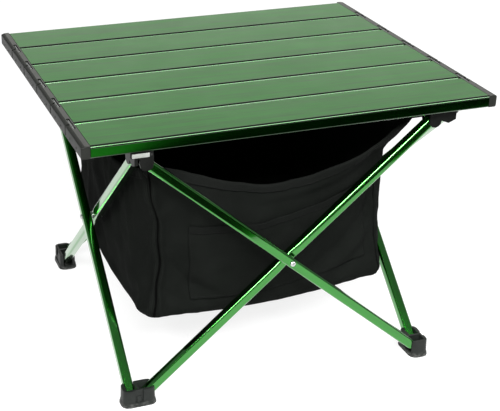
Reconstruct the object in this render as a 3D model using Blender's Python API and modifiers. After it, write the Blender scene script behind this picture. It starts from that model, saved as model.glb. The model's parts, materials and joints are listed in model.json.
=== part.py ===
"""Folding camp table: a roll-up slatted top on a scissor frame of eight legs, with a cloth bag inside it.

Metres, +Z up. The origin is on the ground under the middle of the top. The slats run along X, and -Y is the
front.
"""

from math import atan2, cos, exp, hypot, pi, sin

import bmesh
import bpy
from mathutils import Matrix, Vector

# Tabletop
TOP_LENGTH = 0.420
TOP_DEPTH = 0.345
TABLE_HEIGHT = 0.290
SLAT_COUNT = 6
SLAT_THICKNESS = 0.012
SLAT_WALL = 0.0011
SLAT_CORNER = 0.0014
SLAT_GAP = 0.0006
SLAT_CELLS = 3

# End caps and the elastic cords that cross their joints
CAP_LENGTH = 0.0085
CAP_PLUG_LENGTH = 0.010
CAP_SLOPE_RUN = 0.0036
CAP_SLOPE_DROP = 0.0012
CAP_EDGE = 0.0008
CORD_RADIUS = 0.00095
CORD_REACH = 0.011
CORD_DROP = 0.0055
CORD_INSET = 0.0028
GROOVE_WIDTH = 0.0026
GROOVE_DEPTH = 0.0024
CORD_HOLE_RADIUS = 0.0017
CORD_HOLE_DEPTH = 0.0082
TONGUE_INSET = 0.0048
TONGUE_REACH = 0.0024
TONGUE_TOP = 0.0020
TONGUE_BOTTOM = 0.0094
NOTCH_CLEARANCE = 0.0004

# Legs of rounded-square tube, one inner and one outer leg crossing on each side
TUBE = 0.010
TUBE_WALL = 0.001
TUBE_CORNER = 0.0024
LEG_GAP = 0.0006
OUTER_PLANE = 0.164
PIVOT_HALF = 0.150
FOOT_PIVOT_Z = 0.0085
HUB_PIVOT_Z = 0.2655
LEG_OVERHANG = 0.0034
DENT_DEPTH = 0.0010
DENT_FLAT = 0.0055
DENT_END = 0.016

# Pins and shouldered rivets
PIN_RADIUS = 0.0018
PIN_HOLE_RADIUS = 0.0021
RIVET_HEAD_RADIUS = 0.0029
RIVET_HEAD_HEIGHT = 0.0016
RIVET_TAIL_RADIUS = 0.0034
RIVET_TAIL_HEIGHT = 0.0011
RIVET_COLLAR_RADIUS = 0.0046

# Hubs and feet, as ranges at the near left corner
HUB_X = (-0.1650, -0.1430)
HUB_BACK_Y = -0.1425
HUB_PLATE = 0.0051
HUB_PLATE_CORNER = 0.0030
EAR_WALL = 0.0031
EAR_THIN_WALL = 0.0020
EAR_RADIUS = 0.0065
FOOT_X = (-0.1735, -0.1395)
FOOT_Y = (-0.1625, -0.1435)
FOOT_HEIGHT = 0.0185
FOOT_CORNER = 0.0062
FOOT_SKIRT_HEIGHT = 0.0045
FOOT_SKIRT_FLARE = 0.0013
FOOT_SILL_Z = 0.0040
FOOT_SILL_WALL = 0.0019
FOOT_TOP_SCALE = 0.97
FOOT_RECESS_WIDTH = 0.0086
FOOT_RECESS_DEPTH = 0.0016
FOOT_RIB_WIDTH = 0.0042
FOOT_RIB_RISE = 0.0010

# Cloth bag and its tabs
CLOTH = 0.0016
BAG_RIM_HALF = 0.1425
BAG_FLOOR_HALF = 0.133
BAG_RIM_Z = 0.250
BAG_FLOOR_Z = 0.081
BAG_RIM_SAG = 0.038
BAG_TIGHT_SAG = 0.006
BAG_PEAK = 0.014
BAG_FRONT_SAG = 0.0083
BAG_FRONT_TILT = 0.0095
BAG_SIDE_SAG = 0.0208
BAG_BOW = 0.003
BAG_BELLY = 0.0042
BAG_PINCH = 0.006
BAG_SLACK_X = (-0.0021, -0.0218)
BAG_SLACK_Y = 0.0253
BAG_FOLDS = (-0.0095, 0.0162)
BAG_FOLD_PLACE = -0.8
BAG_FOLD_WIDTH = 0.18
BAG_STEPS = 8
POCKET_SPAN = (-0.71, 0.89)
POCKET_LOWER = (0.115, 0.150)
POCKET_UPPER = (0.625, 0.725)
POCKET_THICKNESS = 0.0010
TAB_WIDTH = 0.014
TAB_BOTTOM_Z = 0.243
TAB_TOP_Z = 0.2705

FIT_GAP = 0.0003
ROUND_SEGMENTS = 12
ARC_SEGMENTS = 3

# Worked-out sizes
INNER_PLANE = OUTER_PLANE - TUBE - LEG_GAP
CROSSING_Z = (HUB_PIVOT_Z + FOOT_PIVOT_Z) / 2
LEG_LENGTH = hypot(2 * PIVOT_HALF, HUB_PIVOT_Z - FOOT_PIVOT_Z)
LEG_ANGLE = atan2(HUB_PIVOT_Z - FOOT_PIVOT_Z, 2 * PIVOT_HALF)
TUBE_CLEAR = TUBE / 2 + FIT_GAP
SLAT_PITCH = TOP_DEPTH / SLAT_COUNT
SLAT_WIDTH = SLAT_PITCH - SLAT_GAP
SLAT_LENGTH = TOP_LENGTH - 2 * CAP_LENGTH - 2 * FIT_GAP
HUB_TOP_Z = TABLE_HEIGHT - SLAT_THICKNESS - FIT_GAP
HUB_PLATE_Z = HUB_TOP_Z - HUB_PLATE
HUB_FRONT_Y = -OUTER_PLANE - TUBE_CLEAR - EAR_WALL
LEG_END_REACH = hypot(TUBE / 2, LEG_OVERHANG)
FOOT_SLOT_FLOOR = FOOT_PIVOT_Z - LEG_END_REACH - FIT_GAP

# Each side is the front one turned about Z, and each corner the near left one. A side's left corner, seen
# from outside, has the side's own number.
SIDES = ("front", "right", "back", "left")
CORNERS = ("near_left", "near_right", "far_right", "far_left")

# Pivots of the front side, before they are turned to the other sides
INNER_FOOT_PIN = Vector((-PIVOT_HALF, -INNER_PLANE, FOOT_PIVOT_Z))
INNER_HUB_PIN = Vector((PIVOT_HALF, -INNER_PLANE, HUB_PIVOT_Z))
OUTER_FOOT_PIN = Vector((PIVOT_HALF, -OUTER_PLANE, FOOT_PIVOT_Z))
OUTER_HUB_PIN = Vector((-PIVOT_HALF, -OUTER_PLANE, HUB_PIVOT_Z))
CROSSING = Vector((0, -(INNER_PLANE + OUTER_PLANE) / 2, CROSSING_Z))

# Seams at the left and right of the bag's floor, about which its halves fold up
BAG_LEFT_SEAM = Vector((-BAG_FLOOR_HALF, 0, BAG_FLOOR_Z))
BAG_RIGHT_SEAM = Vector((BAG_FLOOR_HALF + BAG_SLACK_X[0] / 2, 0, BAG_FLOOR_Z - BAG_FRONT_TILT / 2))

# Every moving body of the frame: the body that carries it, the side its axis is on, and the axis
FRAME_BODIES = {
    "leg_front_inner": ("foot_near_left", 0, INNER_FOOT_PIN),
    "leg_front_outer": ("leg_front_inner", 0, CROSSING),
    "hub_near_left": ("leg_front_outer", 0, OUTER_HUB_PIN),
    "foot_near_right": ("leg_front_outer", 0, OUTER_FOOT_PIN),
    "hub_near_right": ("leg_front_inner", 0, INNER_HUB_PIN),
    "leg_left_outer": ("foot_near_left", 3, OUTER_FOOT_PIN),
    "leg_left_inner": ("leg_left_outer", 3, CROSSING),
    "hub_far_left": ("leg_left_outer", 3, OUTER_HUB_PIN),
    "foot_far_left": ("leg_left_inner", 3, INNER_FOOT_PIN),
    "leg_right_inner": ("foot_near_right", 1, INNER_FOOT_PIN),
    "leg_right_outer": ("leg_right_inner", 1, CROSSING),
    "hub_far_right": ("leg_right_inner", 1, INNER_HUB_PIN),
    "foot_far_right": ("leg_right_outer", 1, OUTER_FOOT_PIN),
    "leg_back_outer": ("foot_far_left", 2, OUTER_FOOT_PIN),
    "leg_back_inner": ("leg_back_outer", 2, CROSSING),
}


def quarter_turn(count):
    """The turn about Z that takes the front side, or the near left corner, to another one."""
    return Matrix.Rotation(count * pi / 2, 4, "Z")


def clear_scene():
    for obj in list(bpy.data.objects):
        bpy.data.objects.remove(obj, do_unlink=True)


def new_collection(name):
    collection = bpy.data.collections.new(name)
    bpy.context.scene.collection.children.link(collection)
    return collection


def new_material(name, colour, roughness, metallic=0.0):
    material = bpy.data.materials.new(name)
    material.use_nodes = True
    shader = material.node_tree.nodes["Principled BSDF"]
    shader.inputs["Base Color"].default_value = (*colour, 1)
    shader.inputs["Roughness"].default_value = roughness
    shader.inputs["Metallic"].default_value = metallic
    return material


def rounded_rectangle(width, height, radius, centre=(0, 0)):
    """The outline of a rectangle with round corners, counter-clockwise."""
    points = []
    for quarter in range(4):
        across = 1 if quarter in (0, 3) else -1
        along = 1 if quarter in (0, 1) else -1
        corner_x = centre[0] + across * (width / 2 - radius)
        corner_y = centre[1] + along * (height / 2 - radius)
        for step in range(ARC_SEGMENTS + 1):
            angle = (quarter + step / ARC_SEGMENTS) * pi / 2
            points.append((corner_x + radius * cos(angle), corner_y + radius * sin(angle)))
    return points


def weld(mesh):
    """Closes the loose caps of a filled outline."""
    bm = bmesh.new()
    bm.from_mesh(mesh)
    bmesh.ops.remove_doubles(bm, verts=bm.verts, dist=1e-6)
    bmesh.ops.recalc_face_normals(bm, faces=bm.faces)
    bm.to_mesh(mesh)
    bm.free()


def drawn_outline(name, outlines, depth, place=Matrix()):
    """A flat outline, with any further outlines as holes, drawn out to half its depth on both sides."""
    curve = bpy.data.curves.new(name, "CURVE")
    curve.dimensions = "2D"
    curve.fill_mode = "BOTH"
    curve.extrude = depth / 2
    for outline in outlines:
        spline = curve.splines.new("POLY")
        spline.points.add(len(outline) - 1)
        spline.use_cyclic_u = True
        for point, (x, y) in zip(spline.points, outline):
            point.co = (x, y, 0, 1)
    scratch = bpy.data.objects.new(name, curve)
    bpy.context.scene.collection.objects.link(scratch)
    depsgraph = bpy.context.evaluated_depsgraph_get()
    mesh = bpy.data.meshes.new_from_object(scratch.evaluated_get(depsgraph))
    bpy.data.objects.remove(scratch)
    weld(mesh)
    mesh.transform(place)
    return mesh


def box(low, high):
    """A plain box between two corners."""
    bm = bmesh.new()
    size = Vector(high) - Vector(low)
    middle = (Vector(high) + Vector(low)) / 2
    bmesh.ops.create_cube(bm, size=1, matrix=Matrix.Translation(middle) @ Matrix.Diagonal((*size, 1)))
    return finished(bm, "box")


def rod(start, end, radius):
    """A cylinder between two points."""
    start, end = Vector(start), Vector(end)
    run = end - start
    bm = bmesh.new()
    bmesh.ops.create_cone(
        bm,
        cap_ends=True,
        segments=ROUND_SEGMENTS,
        radius1=radius,
        radius2=radius,
        depth=run.length,
        matrix=Matrix.Translation((start + end) / 2) @ run.to_track_quat("Z", "Y").to_matrix().to_4x4(),
    )
    return finished(bm, "rod")


def finished(bm, name):
    mesh = bpy.data.meshes.new(name)
    bm.to_mesh(mesh)
    bm.free()
    return mesh


def combined(name, base, joined=(), cut=()):
    """One mesh: the base with other meshes joined to it, and then others cut out of it."""
    scratch = bpy.data.objects.new(name, base)
    bpy.context.scene.collection.objects.link(scratch)
    tools = []
    for operation, meshes in (("UNION", joined), ("DIFFERENCE", cut)):
        for mesh in meshes:
            tool = bpy.data.objects.new(f"{name}_tool", mesh)
            tool.hide_render = True
            tool.display_type = "WIRE"
            CUTTERS.objects.link(tool)
            tools.append(tool)
            modifier = scratch.modifiers.new(operation.lower(), "BOOLEAN")
            modifier.operation = operation
            modifier.object = tool
    depsgraph = bpy.context.evaluated_depsgraph_get()
    mesh = bpy.data.meshes.new_from_object(scratch.evaluated_get(depsgraph))
    for obj in [scratch, *tools]:
        bpy.data.objects.remove(obj)
    return mesh


def add_part(name, mesh, material, body, place=Matrix()):
    """A named part that hangs on its body's empty, which sits on the joint axis."""
    obj = bpy.data.objects.new(name, mesh)
    PARTS.objects.link(obj)
    if not mesh.materials:
        mesh.materials.append(material)
    mesh.set_sharp_from_angle(angle=pi / 5)
    obj.parent = AXES[body]
    obj.matrix_parent_inverse = Matrix.Translation(-AXIS_POINTS[body])
    obj.matrix_basis = place
    return obj


def add_axis(body, parent, point):
    """The empty that carries a body, on the axis of the joint that moves it."""
    empty = bpy.data.objects.new(f"axis_{body}", None)
    empty.empty_display_size = 0.02
    PARTS.objects.link(empty)
    AXES[body] = empty
    AXIS_POINTS[body] = Vector(point)
    empty.location = point
    if parent:
        empty.parent = AXES[parent]
        empty.matrix_parent_inverse = Matrix.Translation(-AXIS_POINTS[parent])


def add_frame_axes():
    add_axis("foot_near_left", None, (0, 0, 0))
    for body, (parent, side, point) in FRAME_BODIES.items():
        add_axis(body, parent, quarter_turn(side) @ point)


def slat_y(number):
    """The middle of a slat. Slat 1 is the front one."""
    return -TOP_DEPTH / 2 + (number - 0.5) * SLAT_PITCH


def slat_joint(number):
    """The line on the top surface about which two neighbouring slats fold: between this slat and the next."""
    return Vector((0, -TOP_DEPTH / 2 + number * SLAT_PITCH, TABLE_HEIGHT))


def add_top_axes():
    """The third slat lifts off with the whole top, and its neighbours fold up from it one after another."""
    add_axis("slat_3", "hub_near_left", (0, slat_y(3), TABLE_HEIGHT - SLAT_THICKNESS))
    for number in (2, 1):
        add_axis(f"slat_{number}", f"slat_{number + 1}", slat_joint(number))
    for number in (4, 5, 6):
        add_axis(f"slat_{number}", f"slat_{number - 1}", slat_joint(number - 1))


def slat_cells():
    """Widths and middles of the hollow cells across a slat."""
    width = (SLAT_WIDTH - (SLAT_CELLS + 1) * SLAT_WALL) / SLAT_CELLS
    step = width + SLAT_WALL
    return [(width, (index - (SLAT_CELLS - 1) / 2) * step) for index in range(SLAT_CELLS)]


def add_slats():
    """Six hollow extrusions with two inner webs, open at the ends for the caps."""
    lying_along_x = Matrix(((0, 0, 1, 0), (1, 0, 0, 0), (0, 1, 0, 0), (0, 0, 0, 1)))
    outlines = [rounded_rectangle(SLAT_WIDTH, SLAT_THICKNESS, SLAT_CORNER)]
    for width, middle in slat_cells():
        height = SLAT_THICKNESS - 2 * SLAT_WALL
        outlines.append(rounded_rectangle(width, height, SLAT_CORNER / 2, (middle, 0)))
    mesh = drawn_outline("slat", outlines, SLAT_LENGTH, lying_along_x)
    for number in range(1, SLAT_COUNT + 1):
        place = Matrix.Translation((0, slat_y(number), TABLE_HEIGHT - SLAT_THICKNESS / 2))
        add_part(f"slat_{number}", mesh, GREEN_ALUMINIUM, f"slat_{number}", place)


def cap_block(free_way):
    """The outer block of a left cap: its top slopes to the outside, and its free end has a broken edge."""
    half = SLAT_THICKNESS / 2
    profile = [
        (0, -half),
        (0, half),
        (-CAP_LENGTH + CAP_SLOPE_RUN, half),
        (-CAP_LENGTH + CAP_EDGE, half - CAP_SLOPE_DROP + CAP_EDGE / 2),
        (-CAP_LENGTH, half - CAP_SLOPE_DROP - CAP_EDGE / 2),
        (-CAP_LENGTH, -half + CAP_EDGE),
        (-CAP_LENGTH + CAP_EDGE, -half),
    ]
    along_y = Matrix.Rotation(pi / 2, 4, "X")
    mesh = drawn_outline("cap", [profile], SLAT_WIDTH, along_y)
    if free_way:
        bm = bmesh.new()
        bm.from_mesh(mesh)
        end = free_way * SLAT_WIDTH / 2
        rim = [e for e in bm.edges if all(abs(v.co.y - end) < 1e-6 and v.co.x < -1e-6 for v in e.verts)]
        bmesh.ops.bevel(bm, geom=rim, offset=CAP_EDGE, affect="EDGES", segments=1, profile=0.5, material=-1)
        bm.to_mesh(mesh)
        bm.free()
    return mesh


def cap_mesh(joint_behind, joint_ahead):
    """A left end cap. Its slat ends at x = 0. Behind is the side away from the front."""
    top = SLAT_THICKNESS / 2
    edge = SLAT_WIDTH / 2
    plugs = []
    for width, middle in slat_cells():
        half = width / 2 - FIT_GAP
        rise = top - SLAT_WALL - FIT_GAP
        plugs.append(box((-0.001, middle - half, -rise), (CAP_PLUG_LENGTH, middle + half, rise)))
    joined = plugs
    cut = []
    for present, way in ((joint_behind, 1), (joint_ahead, -1)):
        if not present:
            continue
        inner_end = way * (edge - CORD_REACH)
        outer_end = way * (edge + 0.001)
        low_y, high_y = sorted((inner_end, outer_end))
        low_x = -CORD_INSET - GROOVE_WIDTH / 2
        cut.append(box((low_x, low_y, top - GROOVE_DEPTH), (low_x + GROOVE_WIDTH, high_y, top + 0.001)))
        hole_top = (-CORD_INSET, inner_end, top + 0.001)
        cut.append(rod((-CORD_INSET, inner_end, top - CORD_HOLE_DEPTH), hole_top, CORD_HOLE_RADIUS))
    if joint_behind:
        notch_floor = top - TONGUE_BOTTOM - NOTCH_CLEARANCE
        notch_low = (-CAP_LENGTH - 0.001, edge - TONGUE_REACH - NOTCH_CLEARANCE, notch_floor)
        notch_high = (-TONGUE_INSET + NOTCH_CLEARANCE, edge + 0.001, top + 0.001)
        cut.append(box(notch_low, notch_high))
    if joint_ahead:
        tongue_low = (-CAP_LENGTH + NOTCH_CLEARANCE, -edge - TONGUE_REACH, top - TONGUE_BOTTOM)
        tongue_high = (-TONGUE_INSET, -edge + 0.001, top - TONGUE_TOP)
        joined = [*plugs, box(tongue_low, tongue_high)]
    free_way = 0
    if not joint_behind:
        free_way = 1
    if not joint_ahead:
        free_way = -1
    return combined("cap", cap_block(free_way), joined, cut)


def mirrored(mesh):
    """The right cap for a left one."""
    copy = mesh.copy()
    copy.transform(Matrix.Diagonal((-1, 1, 1, 1)))
    copy.flip_normals()
    return copy


def add_caps():
    """A cap in each end of each slat. The front and back caps have no joint on their free side."""
    kinds = {1: cap_mesh(True, False), SLAT_COUNT: cap_mesh(False, True)}
    middle_kind = cap_mesh(True, True)
    for side, way in (("left", -1), ("right", 1)):
        shared = mirrored(middle_kind) if way > 0 else middle_kind
        for number in range(1, SLAT_COUNT + 1):
            mesh = shared
            if number in kinds:
                mesh = mirrored(kinds[number]) if way > 0 else kinds[number]
            end = way * (SLAT_LENGTH / 2 + FIT_GAP)
            place = Matrix.Translation((end, slat_y(number), TABLE_HEIGHT - SLAT_THICKNESS / 2))
            add_part(f"cap_{side}_{number}", mesh, GREY_PLASTIC, f"slat_{number}", place)


def cord_points():
    """Down one hole, across the joint in its groove and down the other hole, with round shoulders."""
    level = -CORD_RADIUS - FIT_GAP / 2
    shoulder = 2 * CORD_RADIUS
    half = [(CORD_REACH, -CORD_DROP)]
    for step in range(ARC_SEGMENTS + 1):
        angle = step / ARC_SEGMENTS * pi / 2
        reach = CORD_REACH - shoulder + shoulder * cos(angle)
        half.append((reach, level - shoulder + shoulder * sin(angle)))
    other_half = [(-y, z) for y, z in reversed(half)]
    return half + other_half


def add_cords():
    """An elastic cord across each joint, at both ends of the slats. It rides on the slat nearer the front."""
    for side, way in (("left", -1), ("right", 1)):
        for number in range(1, SLAT_COUNT):
            name = f"cord_{side}_{number}"
            curve = bpy.data.curves.new(name, "CURVE")
            curve.dimensions = "3D"
            curve.bevel_depth = CORD_RADIUS
            curve.bevel_resolution = 1
            curve.use_fill_caps = True
            spline = curve.splines.new("POLY")
            points = cord_points()
            spline.points.add(len(points) - 1)
            for point, (y, z) in zip(spline.points, points):
                point.co = (0, y, z, 1)
            obj = bpy.data.objects.new(name, curve)
            PARTS.objects.link(obj)
            curve.materials.append(GREY_CORD)
            across = way * (SLAT_LENGTH / 2 + FIT_GAP + CORD_INSET)
            body = f"slat_{number}"
            obj.parent = AXES[body]
            obj.matrix_parent_inverse = Matrix.Translation(-AXIS_POINTS[body])
            obj.location = slat_joint(number) + Vector((across, 0, 0))


def leg_place(inner):
    """The front side's legs: local Z runs from foot to hub, local Y points into the table."""
    way = 1 if inner else -1
    along = Vector((way * cos(LEG_ANGLE), 0, sin(LEG_ANGLE)))
    inward = Vector((0, 1, 0))
    across = inward.cross(along)
    turn = Matrix((across, inward, along)).transposed().to_4x4()
    plane = INNER_PLANE if inner else OUTER_PLANE
    return Matrix.Translation((0, -plane, CROSSING_Z)) @ turn


def dent_share(distance):
    """How much of the dent's depth a point of the outer wall takes, by its distance from the crossing."""
    if distance <= DENT_FLAT:
        return 1.0
    if distance >= DENT_END:
        return 0.0
    return 0.5 + 0.5 * cos(pi * (distance - DENT_FLAT) / (DENT_END - DENT_FLAT))


def dent_crossing(mesh):
    """Presses in the wall that faces the outer leg, so that the rivet's collar fits between the legs."""
    bm = bmesh.new()
    bm.from_mesh(mesh)
    stations = (DENT_FLAT, (DENT_FLAT + DENT_END) / 2, DENT_END)
    for station in [*stations, *(-s for s in stations)]:
        geometry = [*bm.verts, *bm.edges, *bm.faces]
        bmesh.ops.bisect_plane(bm, geom=geometry, plane_co=(0, 0, station), plane_no=(0, 0, 1), dist=1e-6)
    for vertex in bm.verts:
        if vertex.co.y < -TUBE / 4:
            vertex.co.y += DENT_DEPTH * dent_share(abs(vertex.co.z))
    bm.to_mesh(mesh)
    bm.free()


def leg_mesh(inner):
    """An open tube with pin holes at both pivots and at the crossing."""
    bore = TUBE - 2 * TUBE_WALL
    outlines = [
        rounded_rectangle(TUBE, TUBE, TUBE_CORNER),
        rounded_rectangle(bore, bore, TUBE_CORNER - TUBE_WALL),
    ]
    tube = drawn_outline("leg", outlines, LEG_LENGTH + 2 * LEG_OVERHANG)
    if inner:
        dent_crossing(tube)
    holes = [
        rod((0, -TUBE, height), (0, TUBE, height), PIN_HOLE_RADIUS)
        for height in (-LEG_LENGTH / 2, 0, LEG_LENGTH / 2)
    ]
    return combined("leg", tube, cut=holes)


def add_legs():
    for inner, kind in ((True, "inner"), (False, "outer")):
        mesh = leg_mesh(inner)
        for number, side in enumerate(SIDES):
            name = f"leg_{side}_{kind}"
            add_part(name, mesh, GREEN_TUBE, name, quarter_turn(number) @ leg_place(inner))


def turned(name, profile):
    """A closed mesh turned from a profile of radii and heights about Z, from its top down."""
    mesh = bpy.data.meshes.new(name)
    edges = [(index, index + 1) for index in range(len(profile) - 1)]
    mesh.from_pydata([(radius, 0, height) for radius, height in profile], edges, [])
    scratch = bpy.data.objects.new(name, mesh)
    bpy.context.scene.collection.objects.link(scratch)
    screw = scratch.modifiers.new("turn", "SCREW")
    screw.steps = ROUND_SEGMENTS
    screw.render_steps = ROUND_SEGMENTS
    screw.use_merge_vertices = True
    screw.merge_threshold = 1e-5
    depsgraph = bpy.context.evaluated_depsgraph_get()
    result = bpy.data.meshes.new_from_object(scratch.evaluated_get(depsgraph))
    bpy.data.objects.remove(scratch)
    weld(result)
    return result


def rivet_profile():
    """A domed head outside the outer leg, a collar between the legs and a small tail inside the inner leg."""
    face = OUTER_PLANE + TUBE_CLEAR
    collar_high = OUTER_PLANE - TUBE_CLEAR
    collar_low = INNER_PLANE + TUBE_CLEAR - DENT_DEPTH
    tail = INNER_PLANE - TUBE_CLEAR
    profile = [(0, face + RIVET_HEAD_HEIGHT)]
    for step in range(1, ARC_SEGMENTS + 1):
        angle = step / ARC_SEGMENTS * pi / 2
        profile.append((RIVET_HEAD_RADIUS * sin(angle), face + RIVET_HEAD_HEIGHT * cos(angle)))
    profile += [
        (PIN_RADIUS, face),
        (PIN_RADIUS, collar_high),
        (RIVET_COLLAR_RADIUS, collar_high),
        (RIVET_COLLAR_RADIUS, collar_low),
        (PIN_RADIUS, collar_low),
        (PIN_RADIUS, tail),
        (RIVET_TAIL_RADIUS, tail),
        (RIVET_TAIL_RADIUS * 0.8, tail - RIVET_TAIL_HEIGHT),
        (0, tail - RIVET_TAIL_HEIGHT),
    ]
    return profile


def add_crossings():
    """A shouldered rivet at each crossing, on the outer leg. Its own Z points out of the side."""
    outwards = Matrix.Translation((0, 0, CROSSING_Z)) @ Matrix.Rotation(pi / 2, 4, "X")
    rivet = turned("rivet", rivet_profile())
    for number, side in enumerate(SIDES):
        add_part(f"rivet_{side}", rivet, BRIGHT_STEEL, f"leg_{side}_outer", quarter_turn(number) @ outwards)


def ear_outline(reach, stop=-EAR_RADIUS):
    """An ear that hangs by reach above its pin at the origin and is round below it. Stop is its far edge."""
    points = [(EAR_RADIUS, reach), (stop, reach)]
    if stop < -EAR_RADIUS:
        points += [(stop, 0), (stop / 2 - EAR_RADIUS / 2, -EAR_RADIUS * 0.5)]
    for step in range(2 * ARC_SEGMENTS + 1):
        angle = pi + step / (2 * ARC_SEGMENTS) * pi
        points.append((EAR_RADIUS * cos(angle), EAR_RADIUS * sin(angle)))
    return points


def upright_ear(low, high, along_x, stop=-EAR_RADIUS):
    """An ear of the near left hub between two planes, for the leg that runs along X or along Y from it."""
    middle = (low + high) / 2
    if along_x:
        place = Matrix.Translation((-PIVOT_HALF, middle, HUB_PIVOT_Z)) @ Matrix.Rotation(pi / 2, 4, "X")
    else:
        facing = Matrix.Rotation(pi / 2, 4, "Z") @ Matrix.Rotation(pi / 2, 4, "X")
        place = Matrix.Translation((middle, -PIVOT_HALF, HUB_PIVOT_Z)) @ facing
    reach = HUB_PLATE_Z + HUB_PLATE / 2 - HUB_PIVOT_Z
    return drawn_outline("ear", [ear_outline(reach, stop)], high - low, place)


def plan_block(x_range, y_range, low, high, corner, top_scale=1.0):
    """A block of round-cornered plan between two heights, narrower or wider at its top."""
    width = x_range[1] - x_range[0]
    depth = y_range[1] - y_range[0]
    mesh = drawn_outline("block", [rounded_rectangle(width, depth, corner)], high - low)
    for vertex in mesh.vertices:
        if vertex.co.z > 0:
            vertex.co.x *= top_scale
            vertex.co.y *= top_scale
    mesh.transform(Matrix.Translation((sum(x_range) / 2, sum(y_range) / 2, (low + high) / 2)))
    return mesh


def hub_mesh():
    """The near left hub: a plate under the slat with two forks.

    One holds the front side's outer leg, and the other the left side's inner leg.
    """
    plate = plan_block(HUB_X, (HUB_FRONT_Y, HUB_BACK_Y), HUB_PLATE_Z, HUB_TOP_Z, HUB_PLATE_CORNER)
    outer_face = -OUTER_PLANE - TUBE_CLEAR
    outer_back = -OUTER_PLANE + TUBE_CLEAR
    inner_face = -INNER_PLANE - TUBE_CLEAR
    inner_back = -INNER_PLANE + TUBE_CLEAR
    ears = [
        upright_ear(outer_face - EAR_WALL, outer_face, True),
        upright_ear(outer_back, outer_back + EAR_THIN_WALL, True),
        upright_ear(inner_face - EAR_WALL, inner_face, False, HUB_FRONT_Y + PIVOT_HALF),
        upright_ear(inner_back, inner_back + EAR_WALL, False),
    ]
    pins = [
        rod(
            (-PIVOT_HALF, outer_face - EAR_WALL / 2, HUB_PIVOT_Z),
            (-PIVOT_HALF, outer_back + EAR_THIN_WALL / 2, HUB_PIVOT_Z),
            PIN_RADIUS,
        ),
        rod(
            (inner_face - EAR_WALL / 2, -PIVOT_HALF, HUB_PIVOT_Z),
            (inner_back + EAR_WALL / 2, -PIVOT_HALF, HUB_PIVOT_Z),
            PIN_RADIUS,
        ),
    ]
    return combined("hub", plate, [*ears, *pins])


def foot_mesh():
    """The near left foot: a flared block with two sockets.

    One holds the front side's inner leg, and the other the left side's outer leg. Each is a pit with an open
    mouth over a sill, where its leg leaves. The front face has a recess in line with the wall between the
    sockets, with a short rib in it.
    """
    skirt_x = (FOOT_X[0] - FOOT_SKIRT_FLARE, FOOT_X[1] + FOOT_SKIRT_FLARE)
    skirt_y = (FOOT_Y[0] - FOOT_SKIRT_FLARE, FOOT_Y[1] + FOOT_SKIRT_FLARE)
    skirt = plan_block(skirt_x, skirt_y, 0, FOOT_SKIRT_HEIGHT, FOOT_CORNER + FOOT_SKIRT_FLARE, 0.94)
    body = plan_block(FOOT_X, FOOT_Y, FOOT_SKIRT_HEIGHT / 2, FOOT_HEIGHT, FOOT_CORNER, FOOT_TOP_SCALE)
    end = -PIVOT_HALF - LEG_END_REACH - FIT_GAP
    above = FOOT_HEIGHT + 0.001
    inner_low = -INNER_PLANE - TUBE_CLEAR
    inner_high = -INNER_PLANE + TUBE_CLEAR
    outer_low = -OUTER_PLANE - TUBE_CLEAR
    outer_high = -OUTER_PLANE + TUBE_CLEAR
    sockets = [
        box((end, inner_low, FOOT_SLOT_FLOOR), (FOOT_X[1] - FOOT_SILL_WALL, inner_high, above)),
        box((end, inner_low, FOOT_SILL_Z), (skirt_x[1] + 0.001, inner_high, above)),
        box((outer_low, inner_low, FOOT_SLOT_FLOOR), (outer_high, FOOT_Y[1] - FOOT_SILL_WALL, above)),
        box((outer_low, inner_low, FOOT_SILL_Z), (outer_high, skirt_y[1] + 0.001, above)),
    ]
    divider = (outer_high + end) / 2
    recess_back = FOOT_Y[0] + FOOT_RECESS_DEPTH
    recess = box(
        (divider - FOOT_RECESS_WIDTH / 2, FOOT_Y[0] - 0.002, FOOT_SKIRT_HEIGHT),
        (divider + FOOT_RECESS_WIDTH / 2, recess_back, above),
    )
    shell = combined("foot", skirt, [body], [*sockets, recess])
    rib = box(
        (divider - FOOT_RIB_WIDTH / 2, recess_back - FOOT_RIB_RISE, FOOT_SKIRT_HEIGHT - 0.001),
        (divider + FOOT_RIB_WIDTH / 2, recess_back + 0.0005, FOOT_HEIGHT * 0.62),
    )
    into_wall = 0.0010
    pins = [
        rod(
            (-PIVOT_HALF, inner_low - into_wall, FOOT_PIVOT_Z),
            (-PIVOT_HALF, inner_high + into_wall, FOOT_PIVOT_Z),
            PIN_RADIUS,
        ),
        rod(
            (outer_low - into_wall, -PIVOT_HALF, FOOT_PIVOT_Z),
            (outer_high + into_wall, -PIVOT_HALF, FOOT_PIVOT_Z),
            PIN_RADIUS,
        ),
    ]
    return combined("foot", shell, [rib, *pins])


def add_corners():
    hub = hub_mesh()
    foot = foot_mesh()
    for number, corner in enumerate(CORNERS):
        add_part(f"hub_{corner}", hub, BLACK_PLASTIC, f"hub_{corner}", quarter_turn(number))
        add_part(f"foot_{corner}", foot, GREY_PLASTIC, f"foot_{corner}", quarter_turn(number))


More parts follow.
